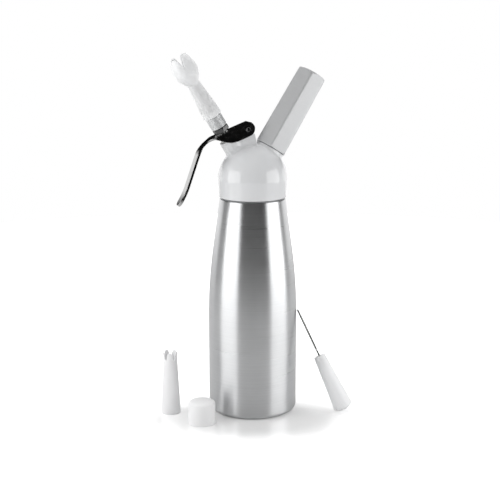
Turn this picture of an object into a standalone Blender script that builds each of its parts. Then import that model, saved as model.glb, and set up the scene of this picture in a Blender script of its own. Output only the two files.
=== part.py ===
"""Whipped cream dispenser with its lever valve, charger holder and loose accessories.

Metres, +Z up. The origin is the centre of the bottle's base. The lever and the nozzle point
to -X and the charger holder to +X, and the plane y = 0 is the plane of symmetry of the head.
"""

import math

import bmesh
import bpy
from mathutils import Matrix, Vector

# Counts
BODY_STEPS = 40
PIECE_STEPS = 24
SMALL_STEPS = 16
WIRE_STEPS = 8
ARC_POINTS = 5
DOME_POINTS = 9

# Clearances
GAP = 0.0003
OVERRUN = 0.002
WELD = 0.0000005
SHARP_ANGLE = 32.0

# Bottle
BOTTLE_RADIUS = 0.0441
BOTTLE_FOOT_EDGE = 0.0050
BOTTLE_SHOULDER_RADIUS = 0.0325
BOTTLE_SHOULDER_HEIGHT = 0.2157
BOTTLE_SHOULDER_EDGE = 0.0018
BOTTLE_CONE_ANGLE = 7.6
BOTTLE_BLEND_RADIUS = 0.540
BOTTLE_WALL = 0.0016
BOTTLE_FLOOR = 0.0030
NECK_HEIGHT = 0.0163
NECK_RADIUS = 0.0275
NECK_BORE = 0.0245
BOTTLE_THREADS = 4
BOTTLE_THREAD_PITCH = 0.0030
BOTTLE_THREAD_DEPTH = 0.0008

# Head cover
HEAD_RADIUS = 0.0344
HEAD_EQUATOR_RISE = 0.0183
HEAD_BOTTOM_RADIUS = 0.0330
HEAD_BOTTOM_EDGE = 0.0018
HEAD_WALL = 0.0030
NOZZLE_TILT = 31.6
NOZZLE_CROSS_RISE = 0.0148
HOLDER_TILT = 31.6
HOLDER_CROSS_RISE = 0.0178
COVER_NECK_RADIUS = 0.0081
COVER_NECK_TOP = 0.0499
COVER_NECK_FLARE = 0.0034
COVER_NECK_FLARE_HEIGHT = 0.0405
COVER_FLAT_START = 0.0385
COVER_BOSS_RADIUS = 0.0148
COVER_BOSS_TOP = 0.0350
COVER_BOSS_EDGE = 0.0010
LUG_RADIUS = 0.0032
LUG_FRONT = 0.0252
LUG_HEEL_HEIGHT = 0.0172
LUG_INSET = 0.0001

# Head insert
INSERT_CEILING_THICKNESS = 0.0070
INSERT_SKIRT_LIFT = 0.0006
VALVE_BOSS_RADIUS = 0.0085
VALVE_SEAT_RADIUS = 0.0073
VALVE_SEAT = 0.0080
VALVE_BOSS_TOP = 0.0270
GAS_BOSS_RADIUS = 0.0090
GAS_BOSS_TOP = 0.0330
NIPPLE_OFFSET = 0.0140
NIPPLE_RADIUS = 0.0030
NIPPLE_LENGTH = 0.0070
GAS_DUCT_RADIUS = 0.0012
CHECK_VALVE_WALL = 0.0012

# Head gasket
GASKET_THICKNESS = 0.0024

# Valve stem and what it carries
STEM_RADIUS = 0.0032
STEM_BORE = 0.0016
STEM_BORE_BOTTOM = 0.0085
STEM_BOTTOM = 0.0008
STEM_TOP = 0.0760
STEM_FLANGE_RADIUS = 0.0045
STEM_FLANGE_START = 0.0410
STEM_FLANGE_THICKNESS = 0.0010
STEM_PORT_RADIUS = 0.0009
STEM_PORT = 0.0105
RING_GROOVE_START = 0.0140
RING_GROOVE_WIDTH = 0.0022
RING_GROOVE_DEPTH = 0.0009
STEM_RING_OUTER = 0.0037
SEAL_RADIUS = 0.0065
SEAL_THICKNESS = 0.0027
SEAL_NUT_FLATS = 0.0100
SEAL_NUT_THICKNESS = 0.0032
GUIDE_BORE = 0.0040
SPRING_POCKET = 0.0050
SPRING_WIRE_RADIUS = 0.00045
SPRING_RADIUS = 0.00425
SPRING_TURNS = 6
SPRING_TURN_POINTS = 8
VALVE_NUT_FLANGE_RADIUS = 0.0060
VALVE_NUT_FLANGE_THICKNESS = 0.0014
VALVE_NUT_SPIGOT_LENGTH = 0.0059

# Press collar and nozzle adaptor
COLLAR_FLATS = 0.0144
COLLAR_THICKNESS = 0.0048
ADAPTOR_RADIUS = 0.0080
ADAPTOR_LENGTH = 0.0123
ADAPTOR_THREADS = 8
ADAPTOR_THREAD_DEPTH = 0.00045
ADAPTOR_SPIGOT_RADIUS = 0.0072
ADAPTOR_SPIGOT_LENGTH = 0.0108
ADAPTOR_OUTLET = 0.0025

# Lever
LEVER_SLOPE = 20.9
LEVER_STROKE = 9.0
PIVOT_OFFSET = 0.02127
PIVOT_HEIGHT = 0.04904
LEVER_WIDTH = 0.0164
LEVER_SHEET = 0.0012
LEVER_WEB_HEIGHT = 0.0050
LEVER_EAR_RADIUS = 0.0073
LEVER_WEB_END = 0.0340
LEVER_BEND_RADIUS = 0.0280
LEVER_BEND_ANGLE = 49.5
HANDLE_STRAIGHT = 0.0303
HANDLE_CURL_RADIUS = 0.0750
HANDLE_CURL_ANGLE = 16.0
LEVER_WAIST_WIDTH = 0.0076
LEVER_WAIST_DEPTH = 0.0021
LEVER_NARROWING_START = 0.0320
LEVER_WAIST_START = 0.0420
LEVER_WAIST_END = 0.0470
HANDLE_START = 0.0560
HANDLE_WIDTH = 0.0097
HANDLE_DEPTH = 0.0027
EAR_ANGLES = (15.0, 35.0, 55.0, 75.0)
BEND_STATIONS = 6
FLANGE_SHARES = (
    (0.0, 1.0), (0.15, 1.016), (0.3, 1.02), (0.45, 1.0),
    (0.58, 0.93), (0.7, 0.77), (0.8, 0.58), (0.9, 0.36),
)
CURL_SHARES = ((0.0, 1.0), (0.35, 1.0), (0.7, 1.0), (0.92, 0.94), (1.0, 0.6))
LEVER_HOLE_RADIUS = 0.0050
LEVER_HOLE_PLACE = 0.0220
PIN_RADIUS = 0.0016
PIN_HEAD_RADIUS = 0.0025
PIN_HEAD_THICKNESS = 0.0008

# Gas port, gasket and piercing pin
PORT_RADIUS = 0.0110
PORT_LENGTH = 0.0127
PORT_THREADS = 4
PORT_THREAD_START = 0.0030
PORT_THREAD_DEPTH = 0.0006
PORT_SPIGOT_RADIUS = 0.0050
PORT_SPIGOT_LENGTH = 0.0090
PORT_DUCT = 0.0020
PORT_CHAMBER_RADIUS = 0.0042
PORT_RECESS_RADIUS = 0.0070
PORT_RECESS_DEPTH = 0.0077
PIN_CHAMBER_DEPTH = 0.0040
PIERCER_RADIUS = 0.0010
PIERCER_BORE = 0.0004
PIERCER_BASE_THICKNESS = 0.0020
PORT_GASKET_THICKNESS = 0.0045

# Charger holder and charger
HOLDER_FLATS = 0.0303
HOLDER_TOP_FLATS = 0.0280
HOLDER_LENGTH = 0.0837
HOLDER_EDGE = 0.0022
HOLDER_TURN = 6.9
HOLDER_THREAD_DEPTH = 0.0127
CHARGER_RADIUS = 0.0093
CHARGER_LENGTH = 0.0660
CHARGER_NECK_RADIUS = 0.0045
CHARGER_NECK_LENGTH = 0.0070
CHARGER_SEAT_DEPTH = 0.0040

# Both decorating nozzles
NOZZLE_WALL = 0.0012
NOZZLE_SOCKET_EDGE = 0.0010
NOTCH_ROWS = 3

# Tulip nozzle, fitted
TULIP_PETALS = 4
TULIP_PETAL_SHARES = (
    (0.0, 0.0), (0.055, 0.3), (0.115, 0.6), (0.2, 0.86), (0.34, 0.98),
    (0.66, 0.98), (0.8, 0.86), (0.885, 0.6), (0.945, 0.3)
)
TULIP_BASE_RADIUS = 0.0095
TULIP_NECK_RADIUS = 0.0061
TULIP_NECK_LENGTH = 0.0355
TULIP_BULB_RADIUS = 0.0119
TULIP_BULB_LENGTH = 0.0293
TULIP_NOTCH_DEPTH = 0.0121
TULIP_MOUTH_RADIUS = 0.0088
TULIP_TURN = 78.0
TULIP_BELLY_SHARE = 0.44
TULIP_NECK_SHARE = 0.55
TULIP_BULB_SHARES = (0.08, 0.2, 0.32, 0.44)
TULIP_SWELL_POWER = 1.15
TULIP_CLOSE_POWER = 1.7

# Star nozzle, standing
STAR_PLACE = (-0.08355, 0.01077)
STAR_PETALS = 5
STAR_PETAL_SHARES = (
    (0.0, 0.0), (0.1, 0.05), (0.18, 0.6), (0.34, 0.97), (0.66, 0.97), (0.82, 0.6), (0.9, 0.05)
)
STAR_BASE_RADIUS = 0.0098
STAR_TOP_RADIUS = 0.0070
STAR_MOUTH_RADIUS = 0.0076
STAR_HEIGHT = 0.0634
STAR_NOTCH_DEPTH = 0.0074
STAR_TURN = 70.3
STAR_LEVEL_SHARES = (0.4, 0.75, 0.92, 1.0)

# Thread cap, standing
CAP_PLACE = (-0.06317, -0.02832)
CAP_RADIUS = 0.0133
CAP_SIDE_HEIGHT = 0.0194
CAP_DOME_RISE = 0.0042
CAP_DOME_SHARES = ((1.0, 0.0), (0.92, 0.52), (0.77, 0.83), (0.53, 0.97), (0.0, 1.0))
CAP_CEILING_THICKNESS = 0.0051
CAP_CEILING_EDGE = 0.0030

# Brush, leaning on the bottle
BRUSH_FOOT = (0.0830, -0.0460)
BRUSH_TIP_HEIGHT = 0.1020
BRUSH_TIP_BEARING = -23.8
BRUSH_HANDLE_LENGTH = 0.0605
BRUSH_HANDLE_BOTTOM_RADIUS = 0.0098
BRUSH_HANDLE_TOP_RADIUS = 0.0061
BRUSH_HANDLE_DOME = 0.0030
BRUSH_HANDLE_EDGE = 0.0014
BRUSH_WIRE_RADIUS = 0.0008
BRUSH_SOCKET_DEPTH = 0.0090
BRISTLE_ZONE = 0.0450
BRISTLE_COUNT = 300
BRISTLE_SIDES = 3
BRISTLE_RADIUS = 0.00009
BRISTLE_LENGTH = 0.0048
BRISTLE_LEAST = 0.0014
GOLDEN_ANGLE = 137.508
BRISTLE_TURN = 7.3

# Places that follow from the sizes
COVER_BOTTOM = BOTTLE_SHOULDER_HEIGHT + GAP
HEAD_EQUATOR_HEIGHT = BOTTLE_SHOULDER_HEIGHT + HEAD_EQUATOR_RISE
NOZZLE_CROSS_HEIGHT = BOTTLE_SHOULDER_HEIGHT + NOZZLE_CROSS_RISE
HOLDER_CROSS_HEIGHT = BOTTLE_SHOULDER_HEIGHT + HOLDER_CROSS_RISE
NECK_TOP = BOTTLE_SHOULDER_HEIGHT + NECK_HEIGHT
GASKET_BOTTOM = NECK_TOP + GAP
CEILING_BOTTOM = GASKET_BOTTOM + GASKET_THICKNESS + GAP
CEILING_TOP = CEILING_BOTTOM + INSERT_CEILING_THICKNESS
SKIRT_BORE = NECK_RADIUS + GAP
SEAL_TOP = VALVE_SEAT - GAP
SEAL_BOTTOM = SEAL_TOP - SEAL_THICKNESS
STEM_CLEAR = STEM_RADIUS + GAP
DELTA_REST = math.radians(NOZZLE_TILT - LEVER_SLOPE)
PRESS_REACH = PIVOT_OFFSET + COLLAR_FLATS / 2
COLLAR_BOTTOM = (
    PIVOT_HEIGHT
    + LEVER_WEB_HEIGHT / math.cos(DELTA_REST)
    + PRESS_REACH * math.tan(DELTA_REST)
    + GAP
)
ADAPTOR_BOTTOM = COLLAR_BOTTOM + COLLAR_THICKNESS + GAP
ADAPTOR_SHOULDER = ADAPTOR_BOTTOM + ADAPTOR_LENGTH
ADAPTOR_TOP = ADAPTOR_SHOULDER + ADAPTOR_SPIGOT_LENGTH
TULIP_BOTTOM = ADAPTOR_SHOULDER + GAP
SOCKET_RADIUS = ADAPTOR_SPIGOT_RADIUS + GAP
SOCKET_DEPTH = ADAPTOR_SPIGOT_LENGTH + GAP
SLOT_HALF = LEVER_WIDTH / 2 - LEVER_SHEET - GAP
PORT_BOTTOM = GAS_BOSS_TOP + GAP
PORT_TOP = PORT_BOTTOM + PORT_LENGTH
RECESS_FLOOR = PORT_TOP - PORT_RECESS_DEPTH
HOLDER_BOTTOM = COVER_BOSS_TOP + GAP
CHARGER_START = PORT_TOP - CHARGER_SEAT_DEPTH
CHARGER_END = CHARGER_START + CHARGER_LENGTH


def clear_scene():
    for obj in list(bpy.data.objects):
        bpy.data.objects.remove(obj)


def empty(name, location, rotation=(0.0, 0.0, 0.0), parent=None):
    """An axis that pieces are parented to."""
    obj = bpy.data.objects.new(name, None)
    bpy.context.scene.collection.objects.link(obj)
    obj.location = location
    obj.rotation_euler = rotation
    obj.parent = parent
    return obj


def object_of(name, bm, parent=None):
    """A linked object that holds the finished bmesh."""
    bmesh.ops.recalc_face_normals(bm, faces=bm.faces)
    mesh = bpy.data.meshes.new(name)
    bm.to_mesh(mesh)
    bm.free()
    obj = bpy.data.objects.new(name, mesh)
    bpy.context.scene.collection.objects.link(obj)
    obj.parent = parent
    return obj


def arc(centre, radius, start, end, count=ARC_POINTS):
    """Points of a round stretch, with the angles in degrees from +r."""
    angles = [math.radians(start + (end - start) * i / (count - 1)) for i in range(count)]
    return [(centre[0] + radius * math.cos(a), centre[1] + radius * math.sin(a)) for a in angles]


def turned(name, outline, steps=PIECE_STEPS, parent=None):
    """The outline of (radius, height) points turned about local Z."""
    bm = bmesh.new()
    verts = [bm.verts.new((r, 0.0, z)) for r, z in outline]
    pairs = list(zip(verts, verts[1:]))
    if outline[0][0] > 0.0 or outline[-1][0] > 0.0:
        pairs.append((verts[-1], verts[0]))
    edges = [bm.edges.new(pair) for pair in pairs]
    bmesh.ops.spin(
        bm,
        geom=verts + edges,
        cent=(0.0, 0.0, 0.0),
        axis=(0.0, 0.0, 1.0),
        angle=2 * math.pi,
        steps=steps,
        use_merge=True,
    )
    bmesh.ops.remove_doubles(bm, verts=bm.verts, dist=WELD)
    return object_of(name, bm, parent)


def rod(name, radius, start, end, steps=PIECE_STEPS, parent=None):
    return turned(name, [(0.0, start), (radius, start), (radius, end), (0.0, end)], steps, parent)


def tube(name, bore, radius, start, end, steps=PIECE_STEPS, parent=None):
    return turned(name, [(bore, start), (radius, start), (radius, end), (bore, end)], steps, parent)


def threaded(radius, depth, start, end, count):
    """The (radius, height) points of the crests and roots of a thread, from start to end."""
    pitch = (end - start) / count
    points = [(radius - depth, start)]
    for i in range(count):
        points.append((radius, start + pitch * (i + 0.5)))
        points.append((radius - depth, start + pitch * (i + 1)))
    return points


def slab(name, outline, half_width, parent=None):
    """The outline of (x, z) points extruded to both sides of the plane y = 0."""
    bm = bmesh.new()
    face = bm.faces.new([bm.verts.new((x, -half_width, z)) for x, z in outline])
    moved = bmesh.ops.extrude_face_region(bm, geom=[face])
    verts = [item for item in moved["geom"] if isinstance(item, bmesh.types.BMVert)]
    bmesh.ops.translate(bm, verts=verts, vec=(0.0, 2 * half_width, 0.0))
    return object_of(name, bm, parent)


def box(name, low, high, parent=None):
    """A block between two corners."""
    outline = [(low[0], low[2]), (high[0], low[2]), (high[0], high[2]), (low[0], high[2])]
    obj = slab(name, outline, (high[1] - low[1]) / 2, parent)
    obj.location.y = (high[1] + low[1]) / 2
    return obj


def prism(name, flats, start, end, turn=0.0, top_flats=None, parent=None):
    """A hexagonal bar along local Z, with a corner at the angle turn."""
    bm = bmesh.new()
    rings = []
    for height, across in ((start, flats), (end, top_flats or flats)):
        radius = across / math.sqrt(3)
        angles = [math.radians(turn + 60 * i) for i in range(6)]
        ring = [(radius * math.cos(a), radius * math.sin(a), height) for a in angles]
        rings.append([bm.verts.new(point) for point in ring])
    for i in range(6):
        bm.faces.new((rings[0][i - 1], rings[0][i], rings[1][i], rings[1][i - 1]))
    bm.faces.new(rings[0])
    bm.faces.new(rings[1])
    return object_of(name, bm, parent)


def combine(obj, other, operation="DIFFERENCE"):
    """Apply a Boolean of the other object, and remove that object."""
    modifier = obj.modifiers.new(other.name, "BOOLEAN")
    modifier.operation = operation
    modifier.solver = "EXACT"
    modifier.object = other
    bpy.context.view_layer.update()
    graph = bpy.context.evaluated_depsgraph_get()
    before = obj.data
    after = bpy.data.meshes.new_from_object(obj.evaluated_get(graph))
    obj.modifiers.clear()
    obj.data = after
    bpy.data.meshes.remove(before)
    bpy.data.objects.remove(other)


def join(obj, other):
    combine(obj, other, "UNION")


def material(name, colour, roughness, metallic=0.0, transmission=0.0):
    mat = bpy.data.materials.new(name)
    mat.use_nodes = True
    shader = mat.node_tree.nodes["Principled BSDF"]
    shader.inputs["Base Color"].default_value = (*colour, 1.0)
    shader.inputs["Roughness"].default_value = roughness
    shader.inputs["Metallic"].default_value = metallic
    shader.inputs["Transmission Weight"].default_value = transmission
    return mat


def dress(obj, mat):
    """One material, and smooth shading with sharp edges kept."""
    obj.data.materials.clear()
    obj.data.materials.append(mat)
    if obj.type == "MESH":
        obj.data.shade_smooth()
        obj.data.set_sharp_from_angle(angle=math.radians(SHARP_ANGLE))


def bottle_outline():
    """The section of the bottle: up the outside, down the inside."""
    cone = math.radians(BOTTLE_CONE_ANGLE)
    shoulder_top = BOTTLE_SHOULDER_HEIGHT
    corner = shoulder_top - (BOTTLE_RADIUS - BOTTLE_SHOULDER_RADIUS) / math.tan(cone)
    blend_start = corner - BOTTLE_BLEND_RADIUS * math.tan(cone / 2)
    blend_centre = (BOTTLE_RADIUS - BOTTLE_BLEND_RADIUS, blend_start)
    foot_centre = (BOTTLE_RADIUS - BOTTLE_FOOT_EDGE, BOTTLE_FOOT_EDGE)
    edge = BOTTLE_SHOULDER_EDGE
    edge_centre = (BOTTLE_SHOULDER_RADIUS - edge / math.cos(cone), shoulder_top - edge)
    thread_start = shoulder_top + BOTTLE_THREAD_PITCH
    thread_end = thread_start + BOTTLE_THREADS * BOTTLE_THREAD_PITCH
    root = NECK_RADIUS - BOTTLE_THREAD_DEPTH
    outside = [(0.0, 0.0)]
    outside += arc(foot_centre, BOTTLE_FOOT_EDGE, -90.0, 0.0)
    outside += arc(blend_centre, BOTTLE_BLEND_RADIUS, 0.0, BOTTLE_CONE_ANGLE)
    outside += arc(edge_centre, edge, BOTTLE_CONE_ANGLE, 90.0, 4)
    outside += [(root, shoulder_top)]
    outside += threaded(NECK_RADIUS, BOTTLE_THREAD_DEPTH, thread_start, thread_end, BOTTLE_THREADS)
    outside += [(root, NECK_TOP), (NECK_BORE, NECK_TOP)]
    inner = BOTTLE_RADIUS - BOTTLE_WALL
    inner_edge = BOTTLE_FOOT_EDGE - BOTTLE_WALL
    inside_top = shoulder_top - BOTTLE_WALL
    inside = [(NECK_BORE, inside_top), (BOTTLE_SHOULDER_RADIUS - BOTTLE_WALL - edge, inside_top)]
    inside += [(BOTTLE_SHOULDER_RADIUS - BOTTLE_WALL, inside_top - edge)]
    inside += arc(blend_centre, BOTTLE_BLEND_RADIUS - BOTTLE_WALL, BOTTLE_CONE_ANGLE, 0.0, 4)
    inside += [(inner, BOTTLE_FLOOR + inner_edge), (inner - inner_edge, BOTTLE_FLOOR)]
    inside += [(0.0, BOTTLE_FLOOR)]
    return outside + inside


def make_bottle(mats):
    bottle = turned("bottle", bottle_outline(), BODY_STEPS)
    dress(bottle, mats["aluminium"])


def cover_dome(parent):
    """The dome of the head with the hollow that takes the insert."""
    centre = (0.0, HEAD_EQUATOR_HEIGHT)
    edge_centre = (HEAD_BOTTOM_RADIUS - HEAD_BOTTOM_EDGE, COVER_BOTTOM + HEAD_BOTTOM_EDGE)
    hollow_radius = HEAD_BOTTOM_RADIUS - HEAD_WALL + GAP
    hollow_top = CEILING_TOP + GAP
    outline = arc(centre, HEAD_RADIUS, 90.0, 0.0, DOME_POINTS)
    outline[0] = (0.0, HEAD_EQUATOR_HEIGHT + HEAD_RADIUS)
    outline += arc(edge_centre, HEAD_BOTTOM_EDGE, 0.0, -90.0, 4)
    outline += [(hollow_radius, COVER_BOTTOM), (hollow_radius, hollow_top), (0.0, hollow_top)]
    return turned("head_cover", outline, BODY_STEPS, parent)


def lug_outline():
    """The block beside the neck that carries the lever pin, as (offset, height) on the nozzle axis."""
    neck_root = VALVE_BOSS_TOP
    side = (PIVOT_OFFSET + LUG_RADIUS, PIVOT_HEIGHT - LUG_RADIUS / 2)
    return [
        (0.0, neck_root),
        (0.0, COVER_NECK_TOP - GAP),
        (COVER_NECK_RADIUS - GAP, COVER_NECK_TOP - GAP),
        (PIVOT_OFFSET - GAP, PIVOT_HEIGHT + LUG_RADIUS - GAP),
        side,
        (LUG_FRONT, COVER_NECK_FLARE_HEIGHT),
        (LUG_FRONT - COVER_NECK_FLARE / 2, COVER_BOSS_TOP),
        (COVER_BOSS_RADIUS, LUG_HEEL_HEIGHT),
    ]


def neck_outline():
    """The round neck on the nozzle axis with its flared root."""
    root = COVER_NECK_FLARE_HEIGHT - 2 * COVER_NECK_FLARE
    flare_centre = (COVER_NECK_RADIUS + COVER_NECK_FLARE, COVER_NECK_FLARE_HEIGHT)
    flare = arc(flare_centre, COVER_NECK_FLARE, 270.0, 180.0, 4)
    wide = COVER_NECK_RADIUS + COVER_NECK_FLARE
    outline = [(0.0, root), (wide, root)] + flare
    return outline + [(COVER_NECK_RADIUS, COVER_NECK_TOP), (0.0, COVER_NECK_TOP)]


def boss_outline():
    """The round boss under the charger holder."""
    edge_centre = (COVER_BOSS_RADIUS - COVER_BOSS_EDGE, COVER_BOSS_TOP - COVER_BOSS_EDGE)
    tilt = math.radians(HOLDER_TILT)
    rise = CEILING_TOP + OVERRUN - HOLDER_CROSS_HEIGHT
    root = (rise + COVER_BOSS_RADIUS * math.sin(tilt)) / math.cos(tilt)
    edge = arc(edge_centre, COVER_BOSS_EDGE, 0.0, 90.0, 3)
    return [(0.0, root), (COVER_BOSS_RADIUS, root)] + edge + [(0.0, COVER_BOSS_TOP)]


def make_head_cover(axes, mats):
    nozzle, holder = axes["nozzle"], axes["holder"]
    cover = cover_dome(axes["head"])
    join(cover, turned("neck", neck_outline(), PIECE_STEPS, nozzle))
    half = SLOT_HALF - LUG_INSET
    join(cover, slab("lug", lug_outline(), half - LUG_INSET, nozzle))
    knuckle = rod("knuckle", LUG_RADIUS, -half, half, SMALL_STEPS, nozzle)
    lie_across(knuckle)
    join(cover, knuckle)
    join(cover, turned("boss", boss_outline(), PIECE_STEPS, holder))
    for side in (-1, 1):
        near, far = sorted((side * SLOT_HALF, side * (COVER_NECK_RADIUS + OVERRUN)))
        low = (-COVER_NECK_RADIUS - OVERRUN, near, COVER_FLAT_START)
        high = (COVER_NECK_RADIUS + OVERRUN, far, COVER_NECK_TOP + OVERRUN)
        combine(cover, box("flat", low, high, nozzle))
    for cutter in cover_cutters(nozzle, holder):
        combine(cover, cutter)
    dress(cover, mats["white_gloss"])


def cover_cutters(nozzle, holder):
    """The bores for the insert's bosses, the spring, the gas port and the lever pin."""
    hollow = VALVE_BOSS_TOP + GAP
    pocket_top = COVER_NECK_TOP + OVERRUN
    seat_top = COVER_BOSS_TOP + OVERRUN
    pin_hole = rod("pin_hole", PIN_RADIUS + GAP, -LEVER_WIDTH, LEVER_WIDTH, SMALL_STEPS, nozzle)
    lie_across(pin_hole)
    return [
        rod("valve_recess", VALVE_BOSS_RADIUS + GAP, 0.0, hollow, PIECE_STEPS, nozzle),
        rod("spring_pocket", SPRING_POCKET, hollow / 2, pocket_top, PIECE_STEPS, nozzle),
        rod("gas_recess", GAS_BOSS_RADIUS + GAP, 0.0, seat_top, PIECE_STEPS, holder),
        rod("port_seat", PORT_RADIUS + GAP, GAS_BOSS_TOP, seat_top, PIECE_STEPS, holder),
        pin_hole,
    ]


def lie_across(obj):
    """Turn a piece made about Z so that it lies along Y through the lever's pivot."""
    obj.location = (PIVOT_OFFSET, 0.0, PIVOT_HEIGHT)
    obj.rotation_euler = (math.pi / 2, 0.0, 0.0)


def make_head_insert(axes, mats):
    nozzle, holder = axes["nozzle"], axes["holder"]
    outer = HEAD_BOTTOM_RADIUS - HEAD_WALL
    bottom = COVER_BOTTOM + INSERT_SKIRT_LIFT
    outline = [
        (0.0, CEILING_TOP),
        (outer, CEILING_TOP),
        (outer, bottom),
        (SKIRT_BORE, bottom),
        (SKIRT_BORE, CEILING_BOTTOM),
        (0.0, CEILING_BOTTOM),
    ]
    insert = turned("head_insert", outline, BODY_STEPS, axes["head"])
    rim = VALVE_SEAT - OVERRUN
    join(insert, rod("valve_boss", VALVE_BOSS_RADIUS, rim, VALVE_BOSS_TOP, parent=nozzle))
    join(insert, rod("gas_boss", GAS_BOSS_RADIUS, VALVE_SEAT, GAS_BOSS_TOP, parent=holder))
    nipple_bottom = CEILING_BOTTOM - NIPPLE_LENGTH
    nipple_top = CEILING_BOTTOM + OVERRUN
    nipple = rod("nipple", NIPPLE_RADIUS, nipple_bottom, nipple_top, SMALL_STEPS, axes["head"])
    nipple.location.x = NIPPLE_OFFSET
    join(insert, nipple)
    combine(insert, rod("seat", VALVE_SEAT_RADIUS, -VALVE_SEAT, VALVE_SEAT, parent=nozzle))
    guide_top = VALVE_BOSS_TOP + OVERRUN
    combine(insert, rod("guide", GUIDE_BORE, VALVE_SEAT - OVERRUN, guide_top, parent=nozzle))
    spigot_bottom = PORT_BOTTOM - PORT_SPIGOT_LENGTH - GAP
    socket_top = GAS_BOSS_TOP + OVERRUN
    combine(insert, rod("socket", PORT_SPIGOT_RADIUS + GAP, spigot_bottom, socket_top, parent=holder))
    duct_top = HOLDER_CROSS_HEIGHT + spigot_bottom * math.cos(math.radians(HOLDER_TILT)) + OVERRUN
    duct_bottom = nipple_bottom - OVERRUN
    duct = rod("duct", GAS_DUCT_RADIUS, duct_bottom, duct_top, SMALL_STEPS, axes["head"])
    duct.location.x = NIPPLE_OFFSET
    combine(insert, duct)
    dress(insert, mats["white_plain"])


def make_head_seals(axes, mats):
    gasket_top = GASKET_BOTTOM + GASKET_THICKNESS
    gasket = tube(
        "head_gasket", NECK_BORE, NECK_RADIUS - GAP, GASKET_BOTTOM, gasket_top, BODY_STEPS, axes["head"]
    )
    dress(gasket, mats["rubber"])
    bore = NIPPLE_RADIUS + GAP
    sleeve = tube(
        "check_valve",
        bore,
        bore + CHECK_VALVE_WALL,
        CEILING_BOTTOM - NIPPLE_LENGTH - GAP,
        CEILING_BOTTOM - GAP,
        SMALL_STEPS,
        axes["head"],
    )
    sleeve.location.x = NIPPLE_OFFSET
    dress(sleeve, mats["rubber"])


def make_valve_nut(axes, mats):
    shoulder = COVER_NECK_TOP + GAP
    spigot = SPRING_POCKET - GAP
    bottom = shoulder - VALVE_NUT_SPIGOT_LENGTH
    top = shoulder + VALVE_NUT_FLANGE_THICKNESS
    outline = [
        (STEM_CLEAR, bottom),
        (spigot, bottom),
        (spigot, shoulder),
        (VALVE_NUT_FLANGE_RADIUS, shoulder),
        (VALVE_NUT_FLANGE_RADIUS, top),
        (STEM_CLEAR, top),
    ]
    dress(turned("valve_nut", outline, PIECE_STEPS, axes["nozzle"]), mats["steel"])


def make_gas_port(axes, mats):
    bottom = PORT_BOTTOM
    thread_start = HOLDER_BOTTOM + PORT_THREAD_START
    pin_floor = RECESS_FLOOR - PIN_CHAMBER_DEPTH
    outline = [(PORT_DUCT, bottom - PORT_SPIGOT_LENGTH), (PORT_SPIGOT_RADIUS, bottom - PORT_SPIGOT_LENGTH)]
    outline += [(PORT_SPIGOT_RADIUS, bottom), (PORT_RADIUS, bottom), (PORT_RADIUS, HOLDER_BOTTOM)]
    outline += threaded(PORT_RADIUS, PORT_THREAD_DEPTH, thread_start, PORT_TOP, PORT_THREADS)
    outline += [(PORT_RECESS_RADIUS, PORT_TOP), (PORT_RECESS_RADIUS, RECESS_FLOOR)]
    outline += [(PORT_CHAMBER_RADIUS, RECESS_FLOOR), (PORT_CHAMBER_RADIUS, pin_floor)]
    outline += [(PORT_DUCT, pin_floor)]
    dress(turned("gas_port", outline, PIECE_STEPS, axes["holder"]), mats["brass_plated"])
    base = pin_floor + GAP
    base_top = base + PIERCER_BASE_THICKNESS
    tip = CHARGER_START - GAP
    outline = [
        (PIERCER_BORE, base),
        (PORT_CHAMBER_RADIUS - GAP, base),
        (PORT_CHAMBER_RADIUS - GAP, base_top),
        (PIERCER_RADIUS, base_top),
        (PIERCER_RADIUS, tip - 2 * PIERCER_RADIUS),
        (PIERCER_BORE, tip),
    ]
    dress(turned("piercing_pin", outline, SMALL_STEPS, axes["holder"]), mats["steel"])
    gasket_bottom = RECESS_FLOOR + GAP
    gasket = tube(
        "port_gasket",
        CHARGER_NECK_RADIUS + GAP,
        PORT_RECESS_RADIUS - GAP,
        gasket_bottom,
        gasket_bottom + PORT_GASKET_THICKNESS,
        SMALL_STEPS,
        axes["holder"],
    )
    dress(gasket, mats["rubber"])


def make_stem(axes, mats):
    """The tube that the lever pushes in, open from its side port to its top."""
    root = STEM_RADIUS - RING_GROOVE_DEPTH
    groove_end = RING_GROOVE_START + RING_GROOVE_WIDTH
    flange_end = STEM_FLANGE_START + STEM_FLANGE_THICKNESS
    outline = [
        (0.0, STEM_BORE_BOTTOM),
        (STEM_BORE, STEM_BORE_BOTTOM),
        (STEM_BORE, STEM_TOP),
        (STEM_RADIUS, STEM_TOP),
        (STEM_RADIUS, flange_end),
        (STEM_FLANGE_RADIUS, flange_end),
        (STEM_FLANGE_RADIUS, STEM_FLANGE_START),
        (STEM_RADIUS, STEM_FLANGE_START),
        (STEM_RADIUS, groove_end),
        (root, groove_end),
        (root, RING_GROOVE_START),
        (STEM_RADIUS, RING_GROOVE_START),
        (STEM_RADIUS, STEM_BOTTOM),
        (0.0, STEM_BOTTOM),
    ]
    stem = turned("valve_stem", outline, SMALL_STEPS, axes["stem"])
    reach = STEM_RADIUS + OVERRUN
    port = rod("port", STEM_PORT_RADIUS, -reach, reach, WIRE_STEPS, axes["stem"])
    port.location = (0.0, 0.0, STEM_PORT)
    port.rotation_euler = (math.pi / 2, 0.0, 0.0)
    combine(stem, port)
    dress(stem, mats["steel"])


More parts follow.
